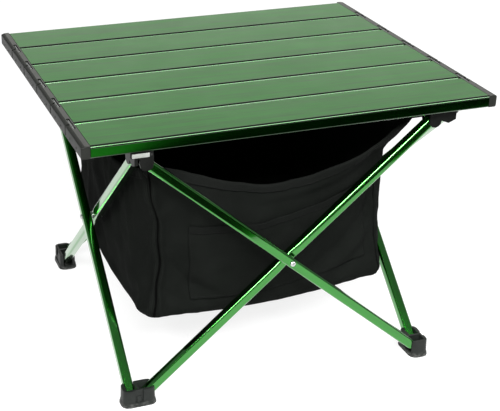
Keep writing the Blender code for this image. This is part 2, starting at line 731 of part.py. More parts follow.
def bag_point(x, y, height):
    """A point of the slack bag.

    X and y run from -1 to 1 across it, and height from 0 at its floor to 1 at its rim.
    """
    half = BAG_FLOOR_HALF + (BAG_RIM_HALF - BAG_FLOOR_HALF) * height
    slack_x = 1 - x * x
    slack_y = 1 - y * y
    swell = BAG_BOW * sin(pi * height)
    pinch = 1 - BAG_PINCH / half * sin(pi * height) * (x * y) ** 4
    rise = BAG_FLOOR_Z + (BAG_RIM_Z - BAG_FLOOR_Z) * height
    side_sag = BAG_RIM_SAG + (BAG_TIGHT_SAG - BAG_RIM_SAG) * (1 + x) / 2
    rise -= max(BAG_RIM_SAG * slack_x, side_sag * slack_y) * height**2
    rise += BAG_PEAK * (x * y) ** 8 * (1 + x) / 2 * height**6
    front_sag = BAG_FRONT_SAG * slack_x + BAG_FRONT_TILT * (1 + x) / 2
    floor_sag = BAG_SIDE_SAG * slack_y + front_sag * ((1 - y) / 2) ** 2
    rise -= floor_sag * (1 - height) ** 2
    pull = (1 + x) / 2 * (1 - y) / 2 * min(1.0, 7 * (1 - height))
    slack = BAG_SLACK_X[0] + (BAG_SLACK_X[1] - BAG_SLACK_X[0]) * height
    belly = BAG_BELLY * (1 - y**8) * (1 - height) ** 1.5 * (1 - x) / 2
    fold = exp(-(((y - BAG_FOLD_PLACE) / BAG_FOLD_WIDTH) ** 2)) * (1 - y**8)
    left_fold = BAG_FOLDS[0] * fold * (1 - height) ** 1.5 * ((1 - x) / 2) ** 4
    right_fold = BAG_FOLDS[1] * fold * (1 - height**4) * ((1 + x) / 2) ** 4
    place_x = x * (half + swell * slack_y) * pinch + slack * pull
    place_x += left_fold + right_fold - belly
    place_y = y * (half + swell * slack_x) * pinch + BAG_SLACK_Y * pull
    return Vector((place_x, place_y, rise))


def add_cloth(name, body, steps, place, thickness, offset):
    """A sheet of cloth: a grid of steps, placed by a function of its two shares and then made thick."""
    bm = bmesh.new()
    bmesh.ops.create_grid(bm, x_segments=steps[0], y_segments=steps[1], size=1)
    for vertex in bm.verts:
        vertex.co = place((vertex.co.x + 1) / 2, (vertex.co.y + 1) / 2)
    sheet = add_part(name, finished(bm, name), BLACK_CLOTH, body)
    solidify = sheet.modifiers.new("cloth", "SOLIDIFY")
    solidify.thickness = thickness
    solidify.offset = offset
    solidify.use_even_offset = True


def between(low, high, share):
    return low + (high - low) * share


def add_bag():
    """Four wall panels and a floor in two halves, sewn into an open box.

    The rim and the floor sag between the hubs. The floor's halves hinge up about its side seams when
    the frame closes.
    """
    add_axis("bag_floor_left", "hub_near_left", BAG_LEFT_SEAM)
    add_axis("bag_floor_right", "hub_near_right", BAG_RIGHT_SEAM)
    long_way = (BAG_STEPS, BAG_STEPS)
    half_way = (BAG_STEPS // 2, BAG_STEPS)
    inset = 1 - (CLOTH + 2 * FIT_GAP) / BAG_FLOOR_HALF
    middle = FIT_GAP / BAG_FLOOR_HALF

    def front(u, v):
        return bag_point(between(-1, 1, u), -1, v)

    def back(u, v):
        return bag_point(between(1, -1, u), 1, v)

    def right(u, v):
        return bag_point(1, between(-inset, inset, u), v)

    def left(u, v):
        return bag_point(-1, between(inset, -inset, u), v)

    def floor_left(u, v):
        return bag_point(between(-inset, -middle, u), between(-inset, inset, v), 0)

    def floor_right(u, v):
        return bag_point(between(middle, inset, u), between(-inset, inset, v), 0)

    add_cloth("bag_wall_front", "hub_near_left", long_way, front, CLOTH, -1)
    add_cloth("bag_wall_left", "hub_near_left", long_way, left, CLOTH, -1)
    add_cloth("bag_wall_right", "hub_near_right", long_way, right, CLOTH, -1)
    add_cloth("bag_wall_back", "hub_far_left", long_way, back, CLOTH, -1)
    add_cloth("bag_floor_left", "bag_floor_left", half_way, floor_left, CLOTH, 1)
    add_cloth("bag_floor_right", "bag_floor_right", half_way, floor_right, CLOTH, 1)


def on_front_wall(x, height):
    """A point on the flat faces of the front wall's panel, which lie a little off the smooth bag."""
    across = (x + 1) / 2 * BAG_STEPS
    up = height * BAG_STEPS
    column = min(int(across), BAG_STEPS - 1)
    row = min(int(up), BAG_STEPS - 1)
    corners = []
    for step in (row, row + 1):
        left = bag_point(between(-1, 1, column / BAG_STEPS), -1, step / BAG_STEPS)
        right = bag_point(between(-1, 1, (column + 1) / BAG_STEPS), -1, step / BAG_STEPS)
        corners.append(left.lerp(right, across - column))
    return corners[0].lerp(corners[1], up - row)


def add_pocket():
    """A flat patch on the bag's front wall, sewn on along its sides and lower edge. Its mouth slants up."""

    def patch(u, v):
        height = between(between(*POCKET_LOWER, u), between(*POCKET_UPPER, u), v)
        return on_front_wall(between(*POCKET_SPAN, u), height) + Vector((0, -3 * FIT_GAP, 0))

    add_cloth("bag_pocket", "hub_near_left", (BAG_STEPS, 4), patch, POCKET_THICKNESS, 1)


def add_tabs():
    """A webbing tab on the inner ear of each hub, sewn to the corner of the bag below it."""
    face = -INNER_PLANE + TUBE_CLEAR + EAR_WALL + FIT_GAP
    near = -PIVOT_HALF - EAR_RADIUS / 2
    mesh = box((face, near, TAB_BOTTOM_Z), (face + CLOTH, near + TAB_WIDTH, TAB_TOP_Z))
    for number, corner in enumerate(CORNERS):
        add_part(f"bag_tab_{corner}", mesh, BLACK_CLOTH, f"hub_{corner}", quarter_turn(number))


clear_scene()
PARTS = new_collection("camp_kitchen_table")
CUTTERS = new_collection("cutters")
AXES = {}
AXIS_POINTS = {}

GREEN_ALUMINIUM = new_material("green_anodised_slat", (0.018, 0.115, 0.040), 0.42, 0.85)
GREEN_TUBE = new_material("green_anodised_tube", (0.020, 0.170, 0.030), 0.28, 0.90)
GREY_PLASTIC = new_material("dark_grey_plastic", (0.060, 0.062, 0.060), 0.50)
BLACK_PLASTIC = new_material("black_plastic", (0.022, 0.023, 0.024), 0.42)
GREY_CORD = new_material("grey_elastic_cord", (0.160, 0.165, 0.160), 0.75)
BRIGHT_STEEL = new_material("bright_rivet_steel", (0.62, 0.63, 0.62), 0.28, 1.0)
BLACK_CLOTH = new_material("black_woven_cloth", (0.012, 0.012, 0.013), 0.90)

add_frame_axes()
add_top_axes()
add_slats()
add_caps()
add_cords()
add_legs()
add_crossings()
add_corners()
add_bag()
add_pocket()
add_tabs()
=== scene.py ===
# %% [markdown]
# # A folding camp table with a slung cloth bag
# The table has a roll-up top of six anodised slats, a scissor frame of eight tube legs with plastic hubs
# and feet, and a black cloth bag that hangs inside the frame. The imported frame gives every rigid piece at
# its real size and place. This lesson eases their edges, gives each a finish, and makes the soft pieces:
# bag, pocket, tabs and cords.

# %% Load the frame
import json
from math import atan2, cos, degrees, exp, hypot, pi, radians, sin

import bmesh
import bpy
import numpy as np
from mathutils import Matrix, Vector
from mathutils.noise import fractal

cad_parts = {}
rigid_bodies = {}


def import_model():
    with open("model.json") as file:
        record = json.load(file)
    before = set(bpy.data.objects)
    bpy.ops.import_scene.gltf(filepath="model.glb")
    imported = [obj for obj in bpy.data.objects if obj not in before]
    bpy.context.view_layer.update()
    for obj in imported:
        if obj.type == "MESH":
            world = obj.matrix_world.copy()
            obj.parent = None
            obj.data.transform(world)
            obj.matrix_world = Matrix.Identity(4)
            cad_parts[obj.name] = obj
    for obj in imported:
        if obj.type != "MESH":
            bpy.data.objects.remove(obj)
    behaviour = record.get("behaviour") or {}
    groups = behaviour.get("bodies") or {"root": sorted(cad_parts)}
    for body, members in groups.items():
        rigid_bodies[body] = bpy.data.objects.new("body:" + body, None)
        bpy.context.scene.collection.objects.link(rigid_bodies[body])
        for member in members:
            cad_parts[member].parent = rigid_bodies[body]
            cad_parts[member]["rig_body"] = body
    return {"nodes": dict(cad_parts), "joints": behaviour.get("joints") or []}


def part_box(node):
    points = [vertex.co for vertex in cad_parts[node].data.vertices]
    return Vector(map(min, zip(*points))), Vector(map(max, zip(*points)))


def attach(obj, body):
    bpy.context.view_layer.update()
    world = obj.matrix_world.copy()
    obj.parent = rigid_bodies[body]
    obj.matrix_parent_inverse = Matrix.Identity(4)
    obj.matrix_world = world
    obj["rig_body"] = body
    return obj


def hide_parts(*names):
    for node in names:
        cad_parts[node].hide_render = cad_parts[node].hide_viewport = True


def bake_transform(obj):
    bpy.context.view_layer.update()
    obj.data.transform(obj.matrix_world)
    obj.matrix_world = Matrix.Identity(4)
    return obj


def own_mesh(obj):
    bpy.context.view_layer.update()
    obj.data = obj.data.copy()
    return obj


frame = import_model()
NODES = frame["nodes"]
JOINTS = {joint["name"]: joint for joint in frame["joints"]}
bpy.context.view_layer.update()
SIDES = ("front", "right", "back", "left")
CORNERS = ("near_left", "near_right", "far_right", "far_left")
SLAT_COUNT = 6

# %% [markdown]
# ## Camera
# The photograph looks down on the near left corner with a long lens, and its middle isn't the lens's
# middle, which a small lens shift repeats. A camera can be aimed with a constraint, but the angles are
# measured here, so they are set directly: a turn about the upright, a tilt down and a slight roll.

# %% Camera
IMAGE_WIDTH = 500
IMAGE_HEIGHT = 411
FOCAL_PIXELS = 1202.2
LENS_MIDDLE = (213.0, 230.7)
CAMERA_PLACE = Vector((-0.4444, -1.1153, 0.6958))
CAMERA_HEADING = radians(-20.81)
CAMERA_TILT = radians(26.67)
CAMERA_ROLL = radians(0.90)
SENSOR_WIDTH = 36.0

camera_data = bpy.data.cameras.new("camera")
camera_data.sensor_width = SENSOR_WIDTH
camera_data.lens = FOCAL_PIXELS * SENSOR_WIDTH / IMAGE_WIDTH
camera_data.shift_x = (IMAGE_WIDTH / 2 - LENS_MIDDLE[0]) / IMAGE_WIDTH
camera_data.shift_y = (LENS_MIDDLE[1] - IMAGE_HEIGHT / 2) / IMAGE_WIDTH
camera = bpy.data.objects.new("camera", camera_data)
heading = Matrix.Rotation(CAMERA_HEADING, 4, "Z")
tilt = Matrix.Rotation(pi / 2 - CAMERA_TILT, 4, "X")
roll = Matrix.Rotation(CAMERA_ROLL, 4, "Z")
camera.matrix_world = Matrix.Translation(CAMERA_PLACE) @ heading @ tilt @ roll
bpy.context.scene.collection.objects.link(camera)
bpy.context.scene.camera = camera
print("camera: lens", round(camera_data.lens, 1), "mm")

# %% [markdown]
# ## Studio
# The table stands in a white studio: a pale floor, two soft boxes at the upper left and in front, and a
# long strip in front on the right. They draw the bright lines on the legs and along the slats' front
# corners, which mirror the dark ceiling above them. A bright wall behind on the right is what the slats'
# tops mirror. The wall could be a mesh, but a large area light gives the same reflection. A dim world
# fills the shadows and leaves the ceiling dark. A black card lies on the floor in front, out of the
# picture. Photographers call it a flag: upright faces mirror it, so they get darker towards the top. It
# hides from the camera and from diffuse light, and casts no shadow.

# %% Studio
FLOOR_HALF = 14.0
FLOOR_GREY = 0.20
FLOOR_GLOW = 0.84
FLAG_CORNERS = ((-0.12, -0.40), (1.50, -1.016), (1.50, -2.40), (0.63, -2.40))
FLAG_HEIGHT = 0.002
CARD_BLACK = (0.008, 0.008, 0.008)
MATT = 0.9
WORLD_COLOUR = (0.95, 0.97, 1.0, 1.0)
WORLD_STRENGTH = 0.26
WALL_TINT = (1.0, 1.0, 0.92)
LIGHTS = {
    "soft_box_left": ((-1.02, -1.36, 1.50), (0, 0, 0.15), (1.1, 0.46), 50),
    "soft_box_front": ((-0.20, -1.70, 1.35), (0, 0, 0.20), (0.9, 0.24), 25),
    "strip_front": ((0.55, -1.12, 1.24), (0.55, 0.0, 0.28), (2.0, 0.40), 34),
    "bright_wall": ((1.3, 2.5, 1.35), (0, 0, 0.25), (3.4, 2.0), 18),
}


def area_light(name, place, target, size, power):
    """A rectangle of light at a place, facing a target, with its size in metres and its power in watts."""
    light = bpy.data.lights.new(name, "AREA")
    light.shape = "RECTANGLE"
    light.size, light.size_y = size
    light.energy = power
    obj = bpy.data.objects.new(name, light)
    way = Vector(target) - Vector(place)
    obj.matrix_world = Matrix.Translation(place) @ way.to_track_quat("-Z", "Y").to_matrix().to_4x4()
    bpy.context.scene.collection.objects.link(obj)
    return obj


def add_node(tree, kind, values=None, links=None, **settings):
    """A shader node with its settings, its socket values and the sockets that feed it."""
    node = tree.nodes.new(kind)
    for key, value in settings.items():
        setattr(node, key, value)
    for key, value in (values or {}).items():
        node.inputs[key].default_value = value
    for key, socket in (links or {}).items():
        tree.links.new(socket, node.inputs[key])
    return node


def new_material(name, colour, roughness, metallic=0.0):
    """A new material, with its node tree and its shader."""
    material = bpy.data.materials.new(name)
    material.use_nodes = True
    shader = material.node_tree.nodes["Principled BSDF"]
    shader.inputs["Base Color"].default_value = (*colour, 1)
    shader.inputs["Roughness"].default_value = roughness
    shader.inputs["Metallic"].default_value = metallic
    return material, material.node_tree, shader


print("studio: a floor", 2 * FLOOR_HALF, "m wide, and", len(LIGHTS), "lights")

# %% Floor and flag
floor_mesh = bmesh.new()
bmesh.ops.create_grid(floor_mesh, x_segments=1, y_segments=1, size=FLOOR_HALF)
floor_data = bpy.data.meshes.new("floor")
floor_mesh.to_mesh(floor_data)
floor_mesh.free()
floor_finish, _, floor_shader = new_material("pale_floor", (FLOOR_GREY, FLOOR_GREY, FLOOR_GREY), MATT)
floor_shader.inputs["Emission Color"].default_value = (1, 1, 1, 1)
floor_shader.inputs["Emission Strength"].default_value = FLOOR_GLOW
floor_data.materials.append(floor_finish)
floor = bpy.data.objects.new("floor", floor_data)
bpy.context.scene.collection.objects.link(floor)

flag_mesh = bmesh.new()
flag_mesh.faces.new([flag_mesh.verts.new((x, y, FLAG_HEIGHT)) for x, y in reversed(FLAG_CORNERS)])
flag_data = bpy.data.meshes.new("dark_flag")
flag_mesh.to_mesh(flag_data)
flag_mesh.free()
card_finish, _, card_shader = new_material("black_card", CARD_BLACK, MATT)
card_shader.inputs["Specular IOR Level"].default_value = 0.0
flag_data.materials.append(card_finish)
flag = bpy.data.objects.new("dark_flag", flag_data)
flag.visible_camera = False
flag.visible_diffuse = False
flag.visible_shadow = False
bpy.context.scene.collection.objects.link(flag)
print("staged:", floor.name, "and", flag.name)

# %% World and lights
world = bpy.data.worlds.new("studio")
bpy.context.scene.world = world
world.use_nodes = True
background = world.node_tree.nodes["Background"]
background.inputs["Color"].default_value = WORLD_COLOUR
background.inputs["Strength"].default_value = WORLD_STRENGTH
bpy.context.scene.view_settings.view_transform = "Standard"

studio = {name: area_light(name, *settings) for name, settings in LIGHTS.items()}
studio["bright_wall"].data.color = WALL_TINT
print("lights:", ", ".join(studio))

# %% [markdown]
# ## Anodised aluminium
# Anodising seals a dye under a clear layer of oxide. The slats are brushed along their length and dyed a
# deep green; the clear layer mirrors the white studio at a low angle, so the top looks paler than the
# edges. A metal base with a clear coat does the same. The slats' sides and rounded upper corners also get
# darker greens, which paint shade on them. The brush marks are noise drawn out along the grain, which
# drives colour, roughness and bump together. The noise reads object coordinates, so it needs no
# unwrapping, and a turned mapping lays the grain along each leg.

# %% Grain of the metal
SLAT_GREEN = ((0.001, 0.070, 0.001), (0.008, 0.258, 0.006))
# Darker greens for the slats' sides and rounded upper corners: painted shade.
EDGE_SHADE_GREEN = ((0.0040, 0.060, 0.0036), (0.0080, 0.105, 0.0070))
CORNER_SHADE_GREEN = ((0.0040, 0.030, 0.0034), (0.0080, 0.060, 0.0070))
TUBE_GREEN = ((0.005, 0.190, 0.003), (0.012, 0.262, 0.007))
GRAIN_FINE = (0.030, 0.0012, 0.0012)
GRAIN_BROAD = (0.16, 0.006, 0.006)
SMUDGE_SIZE = (0.05, 0.05, 0.05)
BROAD_SHARE = 0.45
SMUDGE_SHARE = 0.4
GRAIN_DEPTH = 0.00003
GRAIN_STRENGTH = 0.6
TUBE_GRAIN_DEPTH = 0.000001
SLAT_ROUGHNESS = (0.30, 0.46)
EDGE_ROUGHNESS = (0.12, 0.20)
CORNER_ROUGHNESS = (0.10, 0.18)
TUBE_ROUGHNESS = (0.08, 0.16)
SLAT_COAT = 0.20
CORNER_COAT = 0.7
COAT_SMOOTHING = 0.6
OXIDE_IOR = 1.66
NOISE_ROUGHNESS = 0.55
NOISE_LOW = 0.25
NOISE_HIGH = 0.75


def drawn_noise(tree, size, turn=(0, 0, 0), detail=3.0):
    """Noise whose grains have the given size in metres along three turned axes."""
    place = add_node(tree, "ShaderNodeTexCoord").outputs["Object"]
    mapping = add_node(
        tree,
        "ShaderNodeMapping",
        {"Rotation": turn, "Scale": size},
        {"Vector": place},
        vector_type="TEXTURE",
    )
    noise = add_node(
        tree,
        "ShaderNodeTexNoise",
        {"Scale": 1.0, "Detail": detail, "Roughness": NOISE_ROUGHNESS},
        {"Vector": mapping.outputs["Vector"]},
    )
    return noise.outputs["Fac"]


def colour_between(tree, factor, colours, low=NOISE_LOW, high=NOISE_HIGH):
    """A colour that runs from the first to the second as the factor goes from low to high."""
    ramp = add_node(tree, "ShaderNodeValToRGB", links={"Fac": factor})
    for element, position, colour in zip(ramp.color_ramp.elements, (low, high), colours):
        element.position = position
        element.color = (*colour, 1)
    return ramp.outputs["Color"]


def number_between(tree, factor, low, high, start=NOISE_LOW, stop=NOISE_HIGH):
    """A number that runs from low to high as the factor goes from start to stop."""
    span = add_node(
        tree,
        "ShaderNodeMapRange",
        {"From Min": start, "From Max": stop, "To Min": low, "To Max": high},
        {"Value": factor},
    )
    return span.outputs["Result"]


def bump(tree, shader, height, depth, strength):
    """Lets a height in the tree tilt the shader's surface, by a depth in metres."""
    node = add_node(tree, "ShaderNodeBump", {"Strength": strength, "Distance": depth}, {"Height": height})
    tree.links.new(node.outputs["Normal"], shader.inputs["Normal"])


def mixed(tree, first, second, share):
    """A weighted mean of two factors."""
    mix = add_node(tree, "ShaderNodeMix", {"Factor": share}, data_type="FLOAT")
    tree.links.new(first, mix.inputs["A"])
    tree.links.new(second, mix.inputs["B"])
    return mix.outputs["Result"]


def anodised(name, greens, rough, turn=(0, 0, 0), coat=1.0, depth=GRAIN_DEPTH):
    """Dyed metal with brush marks along a turned grain, under a clear coat."""
    material, tree, shader = new_material(name, greens[1], rough[1], 1.0)
    fine = drawn_noise(tree, GRAIN_FINE, turn)
    broad = drawn_noise(tree, GRAIN_BROAD, turn)
    smudge = drawn_noise(tree, SMUDGE_SIZE)
    grain = mixed(tree, fine, broad, BROAD_SHARE)
    tree.links.new(colour_between(tree, grain, greens), shader.inputs["Base Color"])
    worn = mixed(tree, grain, smudge, SMUDGE_SHARE)
    tree.links.new(number_between(tree, worn, *rough), shader.inputs["Roughness"])
    shader.inputs["Coat Weight"].default_value = coat
    shader.inputs["Coat Roughness"].default_value = rough[0] * COAT_SMOOTHING
    shader.inputs["Coat IOR"].default_value = OXIDE_IOR
    bump(tree, shader, fine, depth, GRAIN_STRENGTH)
    return material


print("grain of the brush marks:", GRAIN_FINE, "and", GRAIN_BROAD)

# %% Anodised finishes
LEG_RISE = Vector(JOINTS["near_right_hub_pivot"]["pos_m"]) - Vector(JOINTS["frame_fold"]["pos_m"])
LEG_ANGLE = atan2(LEG_RISE.z, hypot(LEG_RISE.x, LEG_RISE.y))
SLAT_FINISH = anodised("green_anodised_slat", SLAT_GREEN, SLAT_ROUGHNESS, coat=SLAT_COAT)
# The edge and corner finishes are darker copies of the slat finish: painted shade on its sides and upper
# corners.
EDGE_SHADED_FINISH = anodised("green_anodised_slat_edge_painted_shade", EDGE_SHADE_GREEN, EDGE_ROUGHNESS, coat=0.0)
CORNER_SHADED_FINISH = anodised("green_anodised_slat_corner_painted_shade", CORNER_SHADE_GREEN, CORNER_ROUGHNESS, coat=CORNER_COAT)
LEG_FINISH = {}
for number, side in enumerate(SIDES):
    for kind in ("inner", "outer"):
        leans_right = (kind == "inner") == (number < 2)
        turn = (0, -LEG_ANGLE if leans_right else LEG_ANGLE, (number % 2) * pi / 2)
        name = f"green_anodised_tube_{side}_{kind}"
        LEG_FINISH[side, kind] = anodised(name, TUBE_GREEN, TUBE_ROUGHNESS, turn, depth=TUBE_GRAIN_DEPTH)
print("anodised finishes:", 3 + len(LEG_FINISH), "legs at", round(degrees(LEG_ANGLE), 1), "degrees")

# %% [markdown]
# ## Moulded plastic and steel
# The caps and feet are dark grey moulded plastic with a fine spark-eroded texture, the hubs are black and
# a little smoother, and the rivets are bright steel with fine scratches. Each is a Principled shader with
# noise at the scale of the real texture. The caps have two finishes of one colour, a glossy one on top and
# a duller one on their sides, which lighten the tops and shade the sides as painted light and shade. The
# feet are scuffed paler near the ground, by a mix that reads the height.

# %% Plastic and steel finishes
TEXTURE_GRAIN = (0.0005, 0.0005, 0.0005)
MOTTLE = (0.012, 0.012, 0.012)
TEXTURE_DETAIL = 2.0
MOTTLE_DETAIL = 4.0
MOTTLE_SPAN = (0.3, 0.7)
TEXTURE_STRENGTH = 0.5
HALF = 0.5
SCUFF_TOP = 0.006
SCUFF_GRAIN = (0.004, 0.004, 0.002)
SCUFF_DETAIL = 5.0
SCUFF_SPAN = (0.45, 0.70)
SCUFF_DUST = (0.10, 0.10, 0.095)
CAP_COLOURS = ((0.0045, 0.0052, 0.0040), (0.0085, 0.0096, 0.0074))
FOOT_COLOURS = ((0.006, 0.0075, 0.0065), (0.013, 0.015, 0.0135))
HUB_COLOURS = ((0.0020, 0.0023, 0.0020), (0.0046, 0.0051, 0.0045))
PLATE_COLOURS = ((0.17, 0.18, 0.165), (0.25, 0.26, 0.245))
# Dark grey for the cap pins; on the hubs the same colour is painted shade standing for a hole.
PIN_AND_HOLE_SHADE_COLOURS = ((0.006, 0.006, 0.006), (0.010, 0.010, 0.010))
COARSE_DEPTH = 0.00006
HUB_DEPTH = 0.00004
FINE_DEPTH = 0.00003
STEEL_COLOURS = ((0.48, 0.49, 0.48), (0.72, 0.73, 0.72))
STEEL_PLAIN = (0.62, 0.63, 0.62)
STEEL_ROUGHNESS = (0.18, 0.36)
SCRATCH_SIZE = (0.006, 0.0003, 0.0003)
SCRATCH_TURN = (0.3, 0.5, 0.7)
SCRATCH_DEPTH = 0.00002
# A Mix node has several sockets of one name, so its colour sockets are told apart by their numbers.
MIX_CLEAN = 6
MIX_DUSTY = 7
MIX_COLOUR = 2


def moulded(name, colours, rough, depth, gloss=0.3):
    """Plastic with a mottled colour and a fine moulded texture."""
    material, tree, shader = new_material(name, colours[1], rough[1])
    shader.inputs["Specular IOR Level"].default_value = gloss
    texture = drawn_noise(tree, TEXTURE_GRAIN, detail=TEXTURE_DETAIL)
    mottle = drawn_noise(tree, MOTTLE, detail=MOTTLE_DETAIL)
    tree.links.new(colour_between(tree, mottle, colours, *MOTTLE_SPAN), shader.inputs["Base Color"])
    worn = mixed(tree, texture, mottle, HALF)
    tree.links.new(number_between(tree, worn, *rough), shader.inputs["Roughness"])
    bump(tree, shader, texture, depth, TEXTURE_STRENGTH)
    return material


def scuffed(material, colour, top):
    """Mixes a dusty colour into a finish near the ground, where noise breaks its edge."""
    tree = material.node_tree
    shader = tree.nodes["Principled BSDF"]
    clean = shader.inputs["Base Color"].links[0].from_socket
    place = add_node(tree, "ShaderNodeTexCoord").outputs["Object"]
    height = add_node(tree, "ShaderNodeSeparateXYZ", links={"Vector": place}).outputs["Z"]
    low = number_between(tree, height, 1.0, 0.0, 0.0, top)
    grain = drawn_noise(tree, SCUFF_GRAIN, detail=SCUFF_DETAIL)
    patches = number_between(tree, grain, 0.0, 1.0, *SCUFF_SPAN)
    share = add_node(tree, "ShaderNodeMath", operation="MULTIPLY")
    tree.links.new(low, share.inputs[0])
    tree.links.new(patches, share.inputs[1])
    mix = add_node(tree, "ShaderNodeMix", data_type="RGBA")
    tree.links.new(share.outputs["Value"], mix.inputs["Factor"])
    tree.links.new(clean, mix.inputs[MIX_CLEAN])
    mix.inputs[MIX_DUSTY].default_value = (*colour, 1)
    tree.links.new(mix.outputs[MIX_COLOUR], shader.inputs["Base Color"])


# Two copies of one cap colour: the glossy top copy lightens the tops and the duller side copy shades the
# sides, as painted light and shade.
CAP_LIT_TOP_FINISH = moulded("grey_cap_top_plastic_lit", CAP_COLOURS, rough=(0.36, 0.52), depth=COARSE_DEPTH, gloss=1.0)
CAP_SHADED_SIDE_FINISH = moulded(
    "grey_cap_side_plastic_shaded", CAP_COLOURS, rough=(0.40, 0.56), depth=COARSE_DEPTH, gloss=0.25
)
FOOT_FINISH = moulded("grey_foot_plastic", FOOT_COLOURS, rough=(0.38, 0.55), depth=COARSE_DEPTH, gloss=0.2)
scuffed(FOOT_FINISH, SCUFF_DUST, SCUFF_TOP)
HUB_FINISH = moulded("black_hub_plastic", HUB_COLOURS, rough=(0.32, 0.46), depth=HUB_DEPTH, gloss=0.11)
PLATE_FINISH = moulded("pale_catch_plastic", PLATE_COLOURS, rough=(0.30, 0.45), depth=FINE_DEPTH)
PIN_AND_HOLE_SHADE_FINISH = moulded("dark_pin_and_hole_shade", PIN_AND_HOLE_SHADE_COLOURS, rough=(0.50, 0.65), depth=FINE_DEPTH)


def steel(name):
    """Bright metal with fine scratches that run one way."""
    material, tree, shader = new_material(name, STEEL_PLAIN, STEEL_ROUGHNESS[1], 1.0)
    scratches = drawn_noise(tree, SCRATCH_SIZE, SCRATCH_TURN)
    tree.links.new(colour_between(tree, scratches, STEEL_COLOURS), shader.inputs["Base Color"])
    tree.links.new(number_between(tree, scratches, *STEEL_ROUGHNESS), shader.inputs["Roughness"])
    bump(tree, shader, scratches, SCRATCH_DEPTH, TEXTURE_STRENGTH)
    return material


RIVET_FINISH = steel("bright_rivet_steel")
print("plastic and steel finishes: 7")

# %% [markdown]
# ## Rigid pieces with eased edges
# The frame's solids have crisp edges, and moulded or drawn pieces never do. A Bevel modifier on the node
# would keep its loose triangles, so each node is copied, its points are merged, its flat faces are joined,
# and the sharp edges get a small two-step bevel, which catches the light as the real edge does. A slat's
# upper corners are made rounder first, so that the dark and bright lines along the joints are as wide as
# on the real top. Faces that tilt get a finish of their own on slats and caps: darker greens on a slat's
# sides and corners and a duller plastic on a cap's sides, which paint shade on them. The copy stands for
# its node.

# %% Eased copies of the rigid nodes
MERGE = 1e-6
FLAT_ANGLE = radians(0.4)
SHARP_ANGLE = radians(48)
SMOOTH_ANGLE = radians(40)
EASE_STEPS = 2
EASE_ROUND = 0.5
EASES = {"slat": 0.0002, "cap": 0.0003, "leg": 0.0002, "rivet": 0.0002, "hub": 0.0004, "foot": 0.0005}
# The side finishes paint shade on tilted faces: darker greens on slats, a duller plastic on caps.
# A face takes the first side finish when the upright part of its normal is below the first value, and so on.
SIDE_TILTS = (0.985, 0.2)
SLAT_CORNER = 0.0014
SLAT_FRONT_ROUND = 0.0028
SLAT_BACK_ROUND = 0.0040
ON_ARC = 0.00003


def add_piece(name, bm, material, body, smooth=SMOOTH_ANGLE):
    """A new piece at the origin, from a bmesh, that moves with a body."""
    mesh = bpy.data.meshes.new(name)
    bm.to_mesh(mesh)
    bm.free()
    mesh.materials.append(material)
    mesh.shade_smooth()
    mesh.set_sharp_from_angle(angle=smooth)
    obj = bpy.data.objects.new(name, mesh)
    bpy.context.scene.collection.objects.link(obj)
    if body:
        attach(obj, body)
    return obj


def round_top_corners(bm, node):
    """Widens the arcs along a slat's two upper edges, which keep their place on its top and its sides."""
    low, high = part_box(node)
    for way, side, radius in ((-1, low.y, SLAT_FRONT_ROUND), (1, high.y, SLAT_BACK_ROUND)):
        widen = radius - SLAT_CORNER
        centre = Vector((0, side - way * SLAT_CORNER, high.z - SLAT_CORNER))
        for vertex in bm.verts:
            spoke = Vector((0, vertex.co.y, vertex.co.z)) - centre
            if abs(spoke.length - SLAT_CORNER) < ON_ARC and spoke.y * way > -ON_ARC and spoke.z > -ON_ARC:
                vertex.co += Vector((0, -way * widen, -widen)) + spoke * widen / SLAT_CORNER


def eased_copy(kind, rest, material, side_materials=(), rounded=False):
    """A copy of the node kind_rest with eased edges, which stands for it."""
    node = f"{kind}_{rest}"
    bm = bmesh.new()
    bm.from_mesh(NODES[node].data)
    bmesh.ops.remove_doubles(bm, verts=bm.verts, dist=MERGE)
    bmesh.ops.dissolve_limit(bm, angle_limit=FLAT_ANGLE, verts=bm.verts, edges=bm.edges)
    if rounded:
        round_top_corners(bm, node)
    sharp = [e for e in bm.edges if e.is_manifold and e.calc_face_angle(0) > SHARP_ANGLE]
    bmesh.ops.bevel(
        bm,
        geom=sharp,
        offset=EASES[kind],
        affect="EDGES",
        segments=EASE_STEPS,
        profile=EASE_ROUND,
        material=-1,
        clamp_overlap=True,
    )
    obj = add_piece(f"{node}_eased", bm, material, NODES[node]["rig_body"])
    for tilt, other in zip(SIDE_TILTS, side_materials):
        obj.data.materials.append(other)
        for face in obj.data.polygons:
            if abs(face.normal.z) < tilt:
                face.material_index = len(obj.data.materials) - 1
    weighted = obj.modifiers.new("flat_faces_stay_flat", "WEIGHTED_NORMAL")
    weighted.keep_sharp = True
    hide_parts(node)


for number in range(1, SLAT_COUNT + 1):
    eased_copy("slat", number, SLAT_FINISH, (CORNER_SHADED_FINISH, EDGE_SHADED_FINISH), rounded=True)
    for side in ("left", "right"):
        eased_copy("cap", f"{side}_{number}", CAP_LIT_TOP_FINISH, (CAP_SHADED_SIDE_FINISH,))
for side in SIDES:
    for kind in ("inner", "outer"):
        eased_copy("leg", f"{side}_{kind}", LEG_FINISH[side, kind])
    eased_copy("rivet", side, RIVET_FINISH)
for corner in CORNERS:
    eased_copy("hub", corner, HUB_FINISH)
    eased_copy("foot", corner, FOOT_FINISH)

# %% [markdown]
# ## Woven cloth
# The bag is cut from black plain-weave polyester. Threads of the warp and the weft take turns on top, so a
# checker chooses between two sets of ridges, one across the other. The pattern reads the UV map, which
# holds metres of cloth, so it follows every fold. Sheen lightens the cloth at a low angle, as loose fibres
# do.

# %% Cloth finishes
CLOTH_THREAD = 0.0008
TAPE_THREAD = 0.0012
CORD_THREAD = 0.0006
SEWING_THREAD = 0.0003
